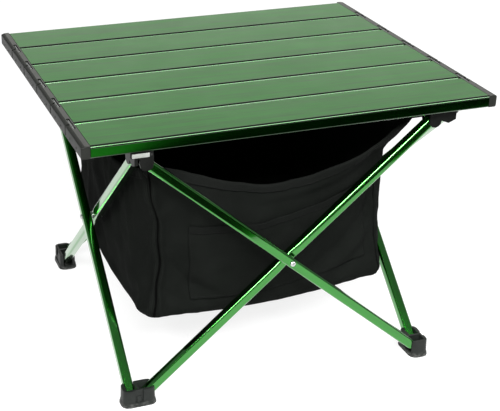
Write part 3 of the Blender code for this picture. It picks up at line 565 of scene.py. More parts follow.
# A wave texture shows one band for each thread at a scale of one over pi.
THREAD_BANDS = 0.31831
THREAD_DISTORTION = 0.15
THREAD_DEPTH = 0.00018
THREAD_STRENGTH = 0.7
THREAD_ROUGHNESS = (0.92, 0.74)
PLAIN_ROUGHNESS = 0.85
CLOTH_GLOSS = 0.012
SHEEN_ROUGHNESS = 0.45
FADE_SIZE = (0.06, 0.06, 0.06)
FADE_DETAIL = 4.0
CLOTH_COLOURS = ((0.0030, 0.0035, 0.0030), (0.0082, 0.0092, 0.0082))
TAPE_COLOURS = ((0.0028, 0.0031, 0.0028), (0.0080, 0.0088, 0.0080))
# The piping is a darker black than the cloth: partly its own colour, partly painted shade in the seams'
# creases.
PIPE_CREASE_SHADE_COLOURS = ((0.0008, 0.0009, 0.0008), (0.0022, 0.0024, 0.0022))
SEWING_COLOURS = ((0.007, 0.007, 0.007), (0.016, 0.0165, 0.016))
CORD_COLOURS = ((0.070, 0.072, 0.070), (0.190, 0.195, 0.188))


def woven(name, colours, thread, sheen):
    """Plain weave of threads of a width in metres, on a UV map that holds metres of cloth."""
    material, tree, shader = new_material(name, colours[1], PLAIN_ROUGHNESS)
    flat = add_node(tree, "ShaderNodeTexCoord").outputs["UV"]
    scaled = add_node(
        tree, "ShaderNodeMapping", {"Scale": (1 / thread, 1 / thread, 1)}, {"Vector": flat}
    ).outputs["Vector"]
    ridges = []
    for direction in ("X", "Y"):
        wave = add_node(
            tree,
            "ShaderNodeTexWave",
            {"Scale": THREAD_BANDS, "Distortion": THREAD_DISTORTION, "Detail": 1.0},
            {"Vector": scaled},
            bands_direction=direction,
        )
        ridges.append(wave.outputs["Fac"])
    over = add_node(
        tree,
        "ShaderNodeTexChecker",
        {"Color1": (1, 1, 1, 1), "Color2": (0, 0, 0, 1), "Scale": 1.0},
        {"Vector": scaled},
    )
    weave = add_node(tree, "ShaderNodeMix", data_type="FLOAT")
    tree.links.new(over.outputs["Fac"], weave.inputs["Factor"])
    tree.links.new(ridges[0], weave.inputs["A"])
    tree.links.new(ridges[1], weave.inputs["B"])
    height = weave.outputs["Result"]
    fade = drawn_noise(tree, FADE_SIZE, detail=FADE_DETAIL)
    tone = mixed(tree, height, fade, HALF)
    tree.links.new(colour_between(tree, tone, colours), shader.inputs["Base Color"])
    tree.links.new(number_between(tree, height, *THREAD_ROUGHNESS), shader.inputs["Roughness"])
    shader.inputs["Specular IOR Level"].default_value = CLOTH_GLOSS
    shader.inputs["Sheen Weight"].default_value = sheen
    shader.inputs["Sheen Roughness"].default_value = SHEEN_ROUGHNESS
    bump(tree, shader, height, THREAD_DEPTH, THREAD_STRENGTH)
    return material


CLOTH_FINISH = woven("black_woven_cloth", CLOTH_COLOURS, CLOTH_THREAD, sheen=0.003)
TAPE_FINISH = woven("black_binding_tape", TAPE_COLOURS, TAPE_THREAD, sheen=0.006)
PIPE_CREASE_SHADE_FINISH = woven("black_piping_crease_shade", PIPE_CREASE_SHADE_COLOURS, TAPE_THREAD, sheen=0.003)
THREAD_FINISH = woven("black_sewing_thread", SEWING_COLOURS, SEWING_THREAD, sheen=0.03)
CORD_FINISH = woven("grey_elastic_cord", CORD_COLOURS, CORD_THREAD, sheen=0.05)
print("cloth finishes: 5")

# %% [markdown]
# ## The slack shape of the bag
# The bag hangs from the hubs at its four corners. Its rim and floor sag between them, its walls lean in
# towards the floor, and its corner seams are pinched at half height. On the left the rim leaves its corner
# in an easy curve and the near seam bows, while the right rim is tight and the near right corner hangs
# slack and is drawn in. A sculpted mesh could hold all this, but one function of a place on the bag lets
# walls, floor, seams and pocket meet on it.

# %% Bag shape
CLOTH = 0.0011
BAG_RIM_HALF = 0.1425
BAG_FLOOR_HALF = 0.133
BAG_RIM_Z = 0.250
BAG_FLOOR_Z = 0.081
BAG_RIM_SAG = 0.038
BAG_TIGHT_SAG = 0.006
BAG_PEAK = 0.019
BAG_FRONT_SAG = 0.0083
BAG_FRONT_TILT = 0.0095
BAG_SIDE_SAG = 0.0208
BAG_BOW = 0.003
BAG_BELLY = 0.0078
BAG_PINCH = 0.006
BAG_RIM_EASE = 0.6
BAG_SEAM_BOW = 0.0055
BAG_SEAM_WAVE = 0.0011
BAG_SEAM_WAVES = 3.5
BAG_SLACK_X = (-0.0021, -0.0218)
BAG_SLACK_Y = 0.0253
BAG_CORNER_SLACK = 0.26
BAG_CORNER_DROP = 4.0
BAG_SLACK_DIP = 0.004
BAG_FLOOR_LIFT = 0.25
BAG_FOLDS = (-0.0060, 0.0212)
BAG_FOLD_PLACE = -0.8
BAG_FOLD_WIDTH = 0.18


def between(low, high, share):
    """The number at a share of the way from low to high."""
    return low + (high - low) * share


def bag_point(x, y, height):
    """X and y run from -1 to 1 across the bag, and height from 0 at its floor to 1 at its rim."""
    half = between(BAG_FLOOR_HALF, BAG_RIM_HALF, height)
    slack_x = 1 - x * x
    slack_y = 1 - y * y
    swell = BAG_BOW * sin(pi * height)
    pinch = 1 - BAG_PINCH / half * sin(pi * height) * (x * y) ** 4
    to_right = (1 + x) / 2
    to_left = (1 - x) / 2
    to_front = (1 - y) / 2
    rise = between(BAG_FLOOR_Z, BAG_RIM_Z, height)
    side_sag = between(BAG_RIM_SAG, BAG_TIGHT_SAG, to_right)
    ease = BAG_RIM_EASE * to_left
    rim_slack = between(slack_x, (1 + cos(pi * x)) / 2, ease)
    rise -= max(BAG_RIM_SAG * rim_slack, side_sag * slack_y) * height**2
    rise += BAG_PEAK * (x * y) ** 8 * to_right * height**6
    front_sag = BAG_FRONT_SAG * slack_x + BAG_FRONT_TILT * to_right
    side_share = between(BAG_FLOOR_LIFT, 1, x**4)
    floor_sag = BAG_SIDE_SAG * slack_y * side_share + front_sag * to_front**2
    rise -= floor_sag * (1 - height) ** 2
    pull = to_right * to_front * min(1.0, BAG_CORNER_SLACK + BAG_CORNER_DROP * (1 - height))
    slack = between(*BAG_SLACK_X, height) - BAG_SLACK_DIP * sin(pi * height)
    belly = BAG_BELLY * (1 - y**8) * (1 - height) ** 1.5 * to_left
    fold = exp(-(((y - BAG_FOLD_PLACE) / BAG_FOLD_WIDTH) ** 2)) * (1 - y**8)
    left_fold = BAG_FOLDS[0] * fold * (1 - height) ** 1.5 * to_left**4
    right_fold = BAG_FOLDS[1] * fold * (1 - height**4) * to_right**4
    place_x = x * (half + swell * slack_y) * pinch + slack * pull
    place_x += left_fold + right_fold - belly
    seam_bow = BAG_SEAM_BOW * sin(pi * height) + BAG_SEAM_WAVE * sin(2 * pi * BAG_SEAM_WAVES * height)
    place_x += seam_bow * (to_left * to_front) ** 6
    place_y = y * (half + swell * slack_x) * pinch + BAG_SLACK_Y * pull
    return Vector((place_x, place_y, rise))


SHAPES = {
    "front": lambda u, v: bag_point(between(-1, 1, u), -1, v),
    "right": lambda u, v: bag_point(1, between(-1, 1, u), v),
    "back": lambda u, v: bag_point(between(1, -1, u), 1, v),
    "left": lambda u, v: bag_point(-1, between(1, -1, u), v),
    "floor": lambda u, v: bag_point(between(-1, 1, u), between(-1, 1, v), 0),
}
print("bag shape: near left corner from", SHAPES["front"](0, 0), "to", SHAPES["front"](0, 1))

# %% [markdown]
# ## Folds by simulation
# Cloth that is cut a little larger than the space it hangs in falls into folds. Folds could be sculpted,
# but a short simulation finds where they belong: each panel is a grid held along its sewn edges, grown by
# about two per cent and left to fall. How far a point may move is capped, so that the bag keeps clear of
# the legs, and the result is kept as the panel's places.

# %% Simulated panels
PANEL_STEPS = (52, 32)
FLOOR_STEPS = (48, 48)
GROWTH = 0.022
FALL_FRAMES = 26
MOVE_CAP = 0.0065
SEWN_EDGE = 1e-4
NO_MOVE = 1e-9
FALL_SETTINGS = {
    "quality": 7,
    "mass": 0.25,
    "tension_stiffness": 25,
    "compression_stiffness": 25,
    "shear_stiffness": 8,
    "bending_stiffness": 0.06,
    "shrink_min": -GROWTH,
    "vertex_group_mass": "sewn",
}


def fallen(name, shape, steps):
    """The places of a panel's grid after it has fallen into folds, by row and column."""
    across, up = steps
    bm = bmesh.new()
    bmesh.ops.create_grid(bm, x_segments=across, y_segments=up, size=1)
    shares = [((v.co.x + 1) / 2, (v.co.y + 1) / 2) for v in bm.verts]
    for vertex, (u, v) in zip(bm.verts, shares):
        vertex.co = shape(u, v)
    mesh = bpy.data.meshes.new(name)
    bm.to_mesh(mesh)
    bm.free()
    start = np.array([v.co for v in mesh.vertices])
    settled = start.copy()
    obj = bpy.data.objects.new(name, mesh)
    bpy.context.scene.collection.objects.link(obj)
    sewn = obj.vertex_groups.new(name="sewn")
    edge = [i for i, (u, v) in enumerate(shares) if min(u, v, 1 - u, 1 - v) < SEWN_EDGE]
    sewn.add(edge, 1.0, "REPLACE")
    cloth = obj.modifiers.new("fall", "CLOTH")
    for key, value in FALL_SETTINGS.items():
        setattr(cloth.settings, key, value)
    cloth.point_cache.frame_start = 1
    cloth.point_cache.frame_end = FALL_FRAMES
    for number in range(1, FALL_FRAMES + 1):
        bpy.context.scene.frame_set(number)
    depsgraph = bpy.context.evaluated_depsgraph_get()
    settled = np.array([v.co for v in obj.evaluated_get(depsgraph).data.vertices])
    bpy.data.objects.remove(obj)
    bpy.context.scene.frame_set(1)
    move = settled - start
    length = np.linalg.norm(move, axis=1, keepdims=True)
    settled = start + move * np.minimum(1, MOVE_CAP / np.maximum(length, NO_MOVE))
    grid = np.zeros((up + 1, across + 1, 3))
    for place, (u, v) in zip(settled, shares):
        grid[round(v * up), round(u * across)] = place
    return grid


PANELS = {}
for name, shape in SHAPES.items():
    steps = FLOOR_STEPS if name == "floor" else PANEL_STEPS
    PANELS[name] = fallen(f"fall_{name}", shape, steps)
    low, high = PANELS[name].min((0, 1)), PANELS[name].max((0, 1))
    print("panel", name, "lies between", low.round(3), "and", high.round(3))

# %% [markdown]
# ## Places on the cloth
# Everything that is sewn on the bag has to follow its folds. A small function reads a place and an outward
# direction from a panel's grid at any share of its width and height, so a hem, a pipe or a pocket is laid
# on the cloth by its shares and never by measured points. The same function adds what the simulation is
# too coarse for: puckers beside the corner seams and the small crumples of thin cloth, both from noise.

# %% Reading places from the panels
SEAM_PUFF = 0.0046
SEAM_REACH = 0.0032
SEAM_PUCKER = 0.026
SEAM_UNEVEN = 0.9
CRUMPLE = 0.0034
CRUMPLE_SIZE = 0.046
CRUMPLE_FADE = 0.10
# Roughness, step between octaves and number of octaves of the noise.
CRUMPLE_NOISE = (1.0, 2.0, 3)
PUCKER_NOISE = (1.0, 2.0, 2)
SHEET_LEVELS = 1


def grid_place(name, u, v):
    """A place between the nearest four points of a panel's grid."""
    grid = PANELS[name]
    rows, columns = grid.shape[0] - 1, grid.shape[1] - 1
    across = min(max(u, 0), 1) * columns
    along = min(max(v, 0), 1) * rows
    i, j = min(int(across), columns - 1), min(int(along), rows - 1)
    s, t = across - i, along - j
    low = grid[j, i] * (1 - s) + grid[j, i + 1] * s
    high = grid[j + 1, i] * (1 - s) + grid[j + 1, i + 1] * s
    return Vector(low * (1 - t) + high * t)


def out_of_panel(name, u, v, reach=0.02):
    """The direction that points out of the bag from a place on a panel."""
    across = grid_place(name, u + reach, v) - grid_place(name, u - reach, v)
    up = grid_place(name, u, v + reach) - grid_place(name, u, v - reach)
    return across.cross(up).normalized()


def on_panel(name, u, v):
    """A place on a panel, with the puckers beside its corner seams and the crumples of thin cloth."""
    place = grid_place(name, u, v)
    edge = min(u, 1 - u)
    fade = min(1.0, max(0.0, min(edge, v) / CRUMPLE_FADE))
    stand = CRUMPLE * fade * fractal(place / CRUMPLE_SIZE, *CRUMPLE_NOISE)
    if name != "floor":
        away = max(0.0, edge) * 2 * BAG_RIM_HALF / SEAM_REACH
        waves = 1 + SEAM_UNEVEN * fractal(place / SEAM_PUCKER, *PUCKER_NOISE)
        stand += SEAM_PUFF * waves * away * exp(1 - away)
    return place + out_of_panel(name, u, v) * stand


def evenly(share):
    return share


def laid_sheet(name, steps, place, size, material, body, thickness, offset, spread=evenly):
    """A grid laid by a function of its shares, with metres of cloth in its UV map, made thick and smooth."""
    bm = bmesh.new()
    bmesh.ops.create_grid(bm, x_segments=steps[0], y_segments=steps[1], size=1)
    uv = bm.loops.layers.uv.new("cloth")
    shares = {v: (spread((v.co.x + 1) / 2), (v.co.y + 1) / 2) for v in bm.verts}
    for face in bm.faces:
        for loop in face.loops:
            u, v = shares[loop.vert]
            loop[uv].uv = (u * size[0], v * size[1])
    for vertex, (u, v) in shares.items():
        vertex.co = place(u, v)
    obj = add_piece(name, bm, material, body, pi)
    smooth = obj.modifiers.new("smooth", "SUBSURF")
    smooth.levels = smooth.render_levels = SHEET_LEVELS
    solidify = obj.modifiers.new("cloth", "SOLIDIFY")
    solidify.thickness = thickness
    solidify.offset = offset
    return obj


# %% [markdown]
# ## Walls and floor
# The walls are the simulated panels made thick. When the frame closes, the hubs come together and the
# cloth gathers between them. Each wall rides on one hub, and the floor folds up in two halves, so the bag
# stays with the frame at both ends of the fold. A wall turns under the bag in a soft curve, with more steps
# near its corners, where the cloth bends most.

# %% Gathering and turning under
TURN_REACH = {"front": 0.006, "right": 0.014, "back": 0.008, "left": 0.014}
TURN_AT_CORNER = 0.011
TURN_STEPS = 8
TURN_SHARE = 0.16
WALL_SIZE = (2 * BAG_RIM_HALF, BAG_RIM_Z - BAG_FLOOR_Z)
WALLS = {
    "front": ("hub_near_left", (1, 0, 0)),
    "right": ("hub_near_right", (0, 1, 0)),
    "back": ("hub_far_left", (1, 0, 0)),
    "left": ("hub_near_left", (0, 1, 0)),
}
# The cut of a wall narrows to the floor under a hollow rim: this is its estimated share of the rectangle.
FLOOR_TUCK = 0.9
FLOOR_GAP = 0.003
FLOOR_SIZE = (BAG_FLOOR_HALF, 2 * BAG_FLOOR_HALF)
FLOOR_HALVES = {"left": (0.0, (1 - FLOOR_GAP) / 2), "right": ((1 + FLOOR_GAP) / 2, 1.0)}


def gathered(obj):
    """Gives a piece of the bag a mesh of its own."""
    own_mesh(obj)


def turn_in(side, u):
    """How far the rounded lower edge of a wall reaches in from the seam: alike where two walls meet."""
    return between(TURN_REACH[side], TURN_AT_CORNER, (2 * u - 1) ** 8)


def floor_place(u, v, tuck=1.0):
    """A place on the floor inside the rounded turn of the walls."""
    share = tuck / (2 * BAG_FLOOR_HALF)
    left, right = share * turn_in("left", 1 - v), share * turn_in("right", v)
    front, back = share * turn_in("front", u), share * turn_in("back", 1 - u)
    return on_panel("floor", between(left, 1 - right, u), between(front, 1 - back, v))


def floor_edge(side, u):
    """The floor's shares at a place along one of its edges."""
    return {"front": (u, 0), "right": (1, u), "back": (1 - u, 1), "left": (0, 1 - u)}[side]


def gather_ends(share):
    """Moves the columns of a wall's grid towards its two corner seams, where the cloth bends most."""
    return (1 - cos(pi * share)) / 2


def wall_place(side, u, w):
    """A place on a wall from its rounded turn under the bag, at w = 0, to its rim, at w = 1."""
    reach = turn_in(side, u)
    start = reach / WALL_SIZE[1]
    if w >= TURN_SHARE:
        return on_panel(side, u, between(start, 1, (w - TURN_SHARE) / (1 - TURN_SHARE)))
    t = 1 - w / TURN_SHARE
    upper = on_panel(side, u, start)
    seam = on_panel(side, u, 0)
    under = floor_place(*floor_edge(side, u))
    return upper.lerp(seam, t).lerp(seam.lerp(under, t), t)


# %% Walls and floor
for side, (body, _) in WALLS.items():
    wall = laid_sheet(
        f"bag_{side}_cloth",
        (PANEL_STEPS[0], PANEL_STEPS[1] + TURN_STEPS),
        lambda u, w, side=side: wall_place(side, u, w),
        WALL_SIZE,
        CLOTH_FINISH,
        body,
        CLOTH,
        -1,
        spread=gather_ends,
    )
    gathered(wall)
    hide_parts(f"bag_wall_{side}")
for half, (low, high) in FLOOR_HALVES.items():
    sheet = laid_sheet(
        f"bag_floor_{half}_cloth",
        (FLOOR_STEPS[0] // 2, FLOOR_STEPS[1]),
        lambda u, v, low=low, high=high: floor_place(between(low, high, u), v, FLOOR_TUCK),
        FLOOR_SIZE,
        CLOTH_FINISH,
        f"bag_floor_{half}",
        CLOTH,
        1,
    )
    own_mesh(sheet)
    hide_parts(f"bag_floor_{half}")
print("bag:", len(WALLS), "walls and", len(FLOOR_HALVES), "floor halves")

# %% [markdown]
# ## Hem and piping
# The rim is turned over and bound with tape, and the seams are piped: a strip folded round a thin cord
# lies in the crease of each corner. The hem is a grid whose short way runs up the outside, over the rim
# and down the inside. The pipes are curves with a round bevel, made into meshes, because a curve keeps its
# thickness round every bend.

# %% Hem
HEM_WIDTH = 0.011
HEM_STEPS = 12
HEM_STANDOFF = 0.0005
HEM_TURN = 0.12
TAPE = 0.0007


def hem_place(side, u, w):
    """A place across the folded tape: w runs from its edge outside, over the rim, to its edge inside."""
    drop = HEM_WIDTH / (BAG_RIM_Z - BAG_FLOOR_Z)
    turn = 2 * (w - 0.5)
    v = 1 - drop * min(1.0, max(0.0, (abs(turn) - HEM_TURN) / (1 - HEM_TURN)))
    out = out_of_panel(side, u, v)
    middle = on_panel(side, u, v) - out * CLOTH / 2
    half = CLOTH / 2 + HEM_STANDOFF
    stand = -half * max(-1.0, min(1.0, turn / HEM_TURN))
    over = half * (1 - min(1.0, abs(turn) / HEM_TURN) ** 2) ** 0.5
    return middle + out * stand + Vector((0, 0, over))


for side, (body, _) in WALLS.items():
    hem = laid_sheet(
        f"bag_hem_{side}",
        (PANEL_STEPS[0], HEM_STEPS),
        lambda u, w, side=side: hem_place(side, u, w),
        (WALL_SIZE[0], 2 * HEM_WIDTH),
        TAPE_FINISH,
        body,
        TAPE,
        1,
    )
    gathered(hem)
print("hem:", len(WALLS), "bound edges")

# %% Piping
PIPE_RADIUS = 0.0013
PIPE_STEPS = 26
PIPE_TOP = 0.985
PIPE_END = 0.06
PIPE_STAND = 0.3
BESIDE_SEAM = 0.03
TUBE_ROUNDNESS = 3
TUBE_SMOOTH = radians(60)


def tube(name, points, radius, material, body):
    """A round tube along points, as a mesh."""
    curve = bpy.data.curves.new(name, "CURVE")
    curve.dimensions = "3D"
    curve.bevel_depth = radius
    curve.bevel_resolution = TUBE_ROUNDNESS
    curve.use_fill_caps = True
    spline = curve.splines.new("POLY")
    spline.points.add(len(points) - 1)
    for point, place in zip(spline.points, points):
        point.co = (*place, 1)
    scratch = bpy.data.objects.new(name, curve)
    bpy.context.scene.collection.objects.link(scratch)
    mesh = bpy.data.meshes.new_from_object(scratch.evaluated_get(bpy.context.evaluated_depsgraph_get()))
    bpy.data.objects.remove(scratch)
    bm = bmesh.new()
    bm.from_mesh(mesh)
    bpy.data.meshes.remove(mesh)
    bmesh.ops.remove_doubles(bm, verts=bm.verts, dist=MERGE)
    bmesh.ops.recalc_face_normals(bm, faces=bm.faces)
    return add_piece(name, bm, material, body, TUBE_SMOOTH)


for number, (side, corner) in enumerate(zip(SIDES, CORNERS)):
    before = SIDES[number - 1]
    seam = []
    for step in range(PIPE_STEPS + 1):
        w = between(PIPE_TOP, PIPE_END, step / PIPE_STEPS)
        way = out_of_panel(side, BESIDE_SEAM, w) + out_of_panel(before, 1 - BESIDE_SEAM, w)
        seam.append(wall_place(side, 0, w) + way.normalized() * PIPE_RADIUS * PIPE_STAND)
    # The piping's darker black paints the shade in each seam's crease.
    tube(f"bag_piping_{corner}", seam, PIPE_RADIUS, PIPE_CREASE_SHADE_FINISH, f"hub_{corner}")
print("piping:", len(CORNERS), "corner seams")

# %% [markdown]
# ## Pocket
# A flat pocket is sewn on the front wall, with its mouth slanting up to the right. It could be simulated
# too, but a sewn-on patch follows its wall, so it is a second sheet laid on the wall's own folds, half a
# thread clear of them, that bellies out a little under its mouth. Its mouth has a narrow hem.

# %% Pocket
POCKET_LEFT = 0.145
POCKET_RIGHT = 0.945
POCKET_LOW = (0.115, 0.150)
POCKET_TOP = (0.625, 0.725)
POCKET_CLOTH = 0.0008
POCKET_STEPS = (44, 20)
POCKET_BELLY = 0.0018
POCKET_BELLY_START = 0.1
POCKET_CLEAR = 0.0004
POCKET_HEM = 0.10
POCKET_HEM_TOP = 1.004
POCKET_HEM_STEPS = 4
POCKET_TAPE = 0.0005


def pocket_shares(u, v):
    """The front wall's shares at a share of the pocket."""
    height = between(between(*POCKET_LOW, u), between(*POCKET_TOP, u), v)
    return between(POCKET_LEFT, POCKET_RIGHT, u), height


def pocket_out(u, v):
    """The direction that points out of the bag from a place on the pocket."""
    return out_of_panel("front", *pocket_shares(u, v))


def on_pocket(u, v, lift=0.0):
    """A place on the pocket, or at a height above its cloth's inner face."""
    belly = POCKET_BELLY * sin(pi * u) * max(0.0, v - POCKET_BELLY_START) ** 2
    return on_panel("front", *pocket_shares(u, v)) + pocket_out(u, v) * (POCKET_CLEAR + belly + lift)


POCKET_SIZE = (
    (on_pocket(1, 0.5) - on_pocket(0, 0.5)).length,
    (on_pocket(0.5, 1) - on_pocket(0.5, 0)).length,
)
pocket = laid_sheet(
    "bag_pocket_cloth",
    POCKET_STEPS,
    on_pocket,
    POCKET_SIZE,
    CLOTH_FINISH,
    "hub_near_left",
    POCKET_CLOTH,
    1,
)
gathered(pocket)
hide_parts("bag_pocket")
pocket_hem = laid_sheet(
    "bag_pocket_hem",
    (POCKET_STEPS[0], POCKET_HEM_STEPS),
    lambda u, v: on_pocket(u, between(1 - POCKET_HEM, POCKET_HEM_TOP, v), POCKET_CLOTH),
    (POCKET_SIZE[0], POCKET_SIZE[1] * POCKET_HEM),
    TAPE_FINISH,
    "hub_near_left",
    POCKET_TAPE,
    1,
)
gathered(pocket_hem)
print("pocket:", [round(s, 3) for s in POCKET_SIZE], "m")

# %% [markdown]
# ## Stitches
# A row of stitches holds the pocket's sides, its lower edge and its hem, and another runs round the rim's
# tape. A texture could draw them, but real thread stands above the cloth and catches the light. Each
# stitch is a tiny drawn-out sphere, set along the sewn line and turned to lie on the cloth.

# %% Stitches
STITCH_STEP = 0.0042
STITCH_LENGTH = 0.0026
STITCH_RADIUS = 0.00035
STITCH_LIFT = 0.0002
POCKET_SIDE_ROWS = (0.012, 0.988)
POCKET_LOW_ROW = 0.03
POCKET_HEM_ROW = 1 - POCKET_HEM + 0.015
POCKET_HEM_LIFT = 0.0006
RIM_ROW = (0.02, 0.98)
RIM_ROW_HEIGHT = 0.95
RIM_ROW_ACROSS = 0.07


def stitch_row(bm, place, out, length):
    """Sews a row: place and out are functions of a share of its length."""
    count = max(2, round(length / STITCH_STEP))
    for number in range(count):
        share = (number + 0.5) / count
        reach = STITCH_LENGTH / length / 2
        along = (place(min(1, share + reach)) - place(max(0, share - reach))).normalized()
        up = out(share)
        across = up.cross(along).normalized()
        turn = Matrix((along, across, along.cross(across))).transposed().to_4x4()
        size = Matrix.Diagonal((STITCH_LENGTH / 2, STITCH_RADIUS, STITCH_RADIUS, 1))
        middle = Matrix.Translation(place(share))
        bmesh.ops.create_icosphere(bm, subdivisions=1, radius=1, matrix=middle @ turn @ size)


def rim_out(side, share):
    """The direction that points out of the bag at a share of a rim's row of stitches."""
    return out_of_panel(side, between(*RIM_ROW, share), RIM_ROW_HEIGHT)


def rim_stitch(side, share):
    """A place on the tape's outer face, at a share of a rim's row of stitches."""
    tape = hem_place(side, between(*RIM_ROW, share), RIM_ROW_ACROSS)
    return tape + rim_out(side, share) * (TAPE + STITCH_LIFT)


pocket_stitches = bmesh.new()
for row in POCKET_SIDE_ROWS:
    stitch_row(
        pocket_stitches,
        lambda s, u=row: on_pocket(u, s, POCKET_CLOTH + STITCH_LIFT),
        lambda s, u=row: pocket_out(u, s),
        POCKET_SIZE[1],
    )
for row, lift in ((POCKET_LOW_ROW, 0.0), (POCKET_HEM_ROW, POCKET_HEM_LIFT)):
    stitch_row(
        pocket_stitches,
        lambda s, v=row, lift=lift: on_pocket(s, v, POCKET_CLOTH + STITCH_LIFT + lift),
        lambda s, v=row: pocket_out(s, v),
        POCKET_SIZE[0],
    )
sewn = add_piece("bag_pocket_stitches", pocket_stitches, THREAD_FINISH, "hub_near_left")
gathered(sewn)
for side, (body, _) in WALLS.items():
    rim_stitches = bmesh.new()
    stitch_row(
        rim_stitches,
        lambda s, side=side: rim_stitch(side, s),
        lambda s, side=side: rim_out(side, s),
        (RIM_ROW[1] - RIM_ROW[0]) * WALL_SIZE[0],
    )
    sewn = add_piece(f"bag_hem_stitches_{side}", rim_stitches, THREAD_FINISH, body)
    gathered(sewn)
print("stitches: pocket and rim sewn")

# %% [markdown]
# ## Tabs
# A short strap of webbing holds each corner of the bag to its hub. It could be bent by a curve, but it
# hangs nearly straight, so it is a strip with a slight wave, against the hub's inner ear. A cross of
# stitches marks its lower end, where the bag's corner is sewn in. One tab is worked out, and quarter turns
# carry it to the other corners.

# %% Tabs
TAB_STEPS = (6, 10)
TAB_WAVE = 0.0003
TAB_CLOTH = 0.0012
TAB_LIFT = 0.0007
TACK_LENGTH = 0.010
TACK_CORNERS = ((0.2, 0.1), (0.8, 0.1), (0.8, 0.45), (0.2, 0.45))
TACK_LINES = [(TACK_CORNERS[a], TACK_CORNERS[b]) for a, b in ((0, 2), (1, 3), (0, 1), (3, 2))]


def quarter_turn(count):
    """Turns the near left corner to another one, counting corners anticlockwise from above."""
    return Matrix.Rotation(count * pi / 2, 4, "Z")


tab_low, tab_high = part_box("bag_tab_near_left")
TAB_OUT = Vector((1, 0, 0))


def tab_place(turn, slack, u, v):
    """A place on a tab: a turned place of the near left one, whose lower end follows the bag's corner."""
    wave = TAB_WAVE * sin(2 * pi * v) * (1 - v)
    middle = between(tab_low.x, tab_high.x, 0.5) + wave
    place = turn @ Vector((middle, between(tab_high.y, tab_low.y, u), between(tab_low.z, tab_high.z, v)))
    return place + slack * (1 - v)


def tab_stitch(turn, slack, start, stop, share):
    """A place just above a tab, at a share of the way between two of its corners of stitches."""
    u, v = (between(a, b, share) for a, b in zip(start, stop))
    return tab_place(turn, slack, u, v) + turn @ (TAB_OUT * TAB_LIFT)


for number, corner in enumerate(CORNERS):
    turn = quarter_turn(number)
    slack = SHAPES[SIDES[number]](0, 1) - turn @ SHAPES["front"](0, 1)
    tab = laid_sheet(
        f"bag_tab_webbing_{corner}",
        TAB_STEPS,
        lambda u, v, turn=turn, slack=slack: tab_place(turn, slack, u, v),
        (tab_high.y - tab_low.y, tab_high.z - tab_low.z),
        TAPE_FINISH,
        f"hub_{corner}",
        TAB_CLOTH,
        0,
    )
    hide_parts(f"bag_tab_{corner}")
    tack = bmesh.new()
    for start, stop in TACK_LINES:
        stitch_row(
            tack,
            lambda s, a=start, b=stop: tab_stitch(turn, slack, a, b, s),
            lambda s: turn @ TAB_OUT,
            TACK_LENGTH,
        )
    add_piece(f"bag_tab_stitches_{corner}", tack, THREAD_FINISH, f"hub_{corner}")
print("tabs:", len(CORNERS))

# %% [markdown]
# ## Elastic cords
# A short elastic cord crosses each joint between two caps, in a groove, and pulls the slats together. It
# dips into a hole at each end. The frame's own cord is faceted, so a rounder one is drawn as a curve, made
# into a mesh.

# %% Elastic cords
CORD_RADIUS = 0.00095
CORD_SHOULDER = 0.0019
CORD_ARC = 5
CORD_STATIONS = (0.5, 0.25, 0.0, -0.25, -0.5)

for side in ("left", "right"):
    for number in range(1, SLAT_COUNT):
        node = f"cord_{side}_{number}"
        low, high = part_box(node)
        middle = (low + high) / 2
        reach = (high.y - low.y) / 2 - CORD_RADIUS
        level = high.z - CORD_RADIUS
        half = [(reach, low.z)]
        for step in range(CORD_ARC + 1):
            angle = step / CORD_ARC * pi / 2
            inward = CORD_SHOULDER * (1 - cos(angle))
            down = CORD_SHOULDER * (1 - sin(angle))
            half.append((reach - inward, level - down))
        line = [Vector((middle.x, middle.y + y, z)) for y, z in half]
        line += [Vector((middle.x, middle.y + share * reach, level)) for share in CORD_STATIONS]
        line += [Vector((middle.x, middle.y - y, z)) for y, z in reversed(half)]
        cord = tube(f"{node}_elastic", line, CORD_RADIUS, CORD_FINISH, None)
        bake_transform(cord)
        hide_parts(node)
print("elastic cords:", 2 * (SLAT_COUNT - 1))

# %% [markdown]
# ## Small marks of making
# Two small pins lock every cap in its slat, and show as dark dots on the cap's outer face. The hubs have a
# pale catch plate on their outer lip, with a dark hole beside it. They could be drawn in a texture, but
# each is a shallow turned or eased shape, set into the face that carries it, so that its rim catches the
# light. The hole is a flat disc, not a hollow, and its dark colour is painted shade.

# %% Cap pins
PIN_RADIUS = 0.0011
PIN_SPREAD = 0.011
PIN_DROP = 0.0012
DISC_SEGMENTS = 16
DISC_TAPER = 0.86
DISC_DEPTH = 0.0006


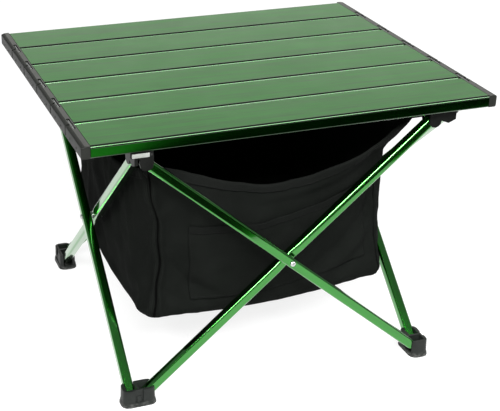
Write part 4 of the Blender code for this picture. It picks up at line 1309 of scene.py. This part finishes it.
def disc(bm, middle, facing, radius):
    """A short round plug that narrows a little, facing a direction."""
    turn = Vector(facing).to_track_quat("Z", "Y").to_matrix().to_4x4()
    bmesh.ops.create_cone(
        bm,
        cap_ends=True,
        segments=DISC_SEGMENTS,
        radius1=radius,
        radius2=radius * DISC_TAPER,
        depth=DISC_DEPTH,
        matrix=Matrix.Translation(middle) @ turn,
    )


for number in range(1, SLAT_COUNT + 1):
    pins = bmesh.new()
    for side, way in (("left", -1), ("right", 1)):
        low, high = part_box(f"cap_{side}_{number}")
        face = low.x if way < 0 else high.x
        middle = (low + high) / 2
        for shift in (-PIN_SPREAD, PIN_SPREAD):
            place = Vector((face, middle.y + shift, middle.z - PIN_DROP))
            disc(pins, place, (way, 0, 0), PIN_RADIUS)
    add_piece(f"cap_pins_{number}", pins, PIN_AND_HOLE_SHADE_FINISH, f"slat_{number}")
print("cap pins:", 4 * SLAT_COUNT)

# %% Hub catch plates
PLATE_WIDTH = 0.0165
PLATE_HEIGHT = 0.0040
PLATE_DEPTH = 0.0007
PLATE_INSET = 0.0010
PLATE_DROP = 0.0027
PLATE_EASE = 0.0004
PLATE_HOLE = 0.0013
PLATE_HOLE_GAP = 0.0018

hub_low, hub_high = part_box("hub_near_left")
for number, corner in enumerate(CORNERS):
    turn = quarter_turn(number)
    plate = bmesh.new()
    middle = Vector((hub_low.x + PLATE_INSET + PLATE_WIDTH / 2, hub_low.y, hub_high.z - PLATE_DROP))
    size = Matrix.Diagonal((PLATE_WIDTH, 2 * PLATE_DEPTH, PLATE_HEIGHT, 1))
    bmesh.ops.create_cube(plate, size=1, matrix=turn @ Matrix.Translation(middle) @ size)
    bmesh.ops.bevel(
        plate,
        geom=plate.edges[:],
        offset=PLATE_EASE,
        affect="EDGES",
        segments=EASE_STEPS,
        profile=EASE_ROUND,
        material=-1,
    )
    add_piece(f"hub_catch_plate_{corner}", plate, PLATE_FINISH, f"hub_{corner}")
    # The catch hole is a flat dark disc: painted shade where a hollow would be.
    hole = bmesh.new()
    place = middle + Vector((PLATE_WIDTH / 2 + PLATE_HOLE_GAP, 0, 0))
    disc(hole, turn @ place, turn @ Vector((0, -1, 0)), PLATE_HOLE)
    add_piece(f"hub_catch_hole_{corner}", hole, PIN_AND_HOLE_SHADE_FINISH, f"hub_{corner}")
print("hub catch plates:", len(CORNERS))
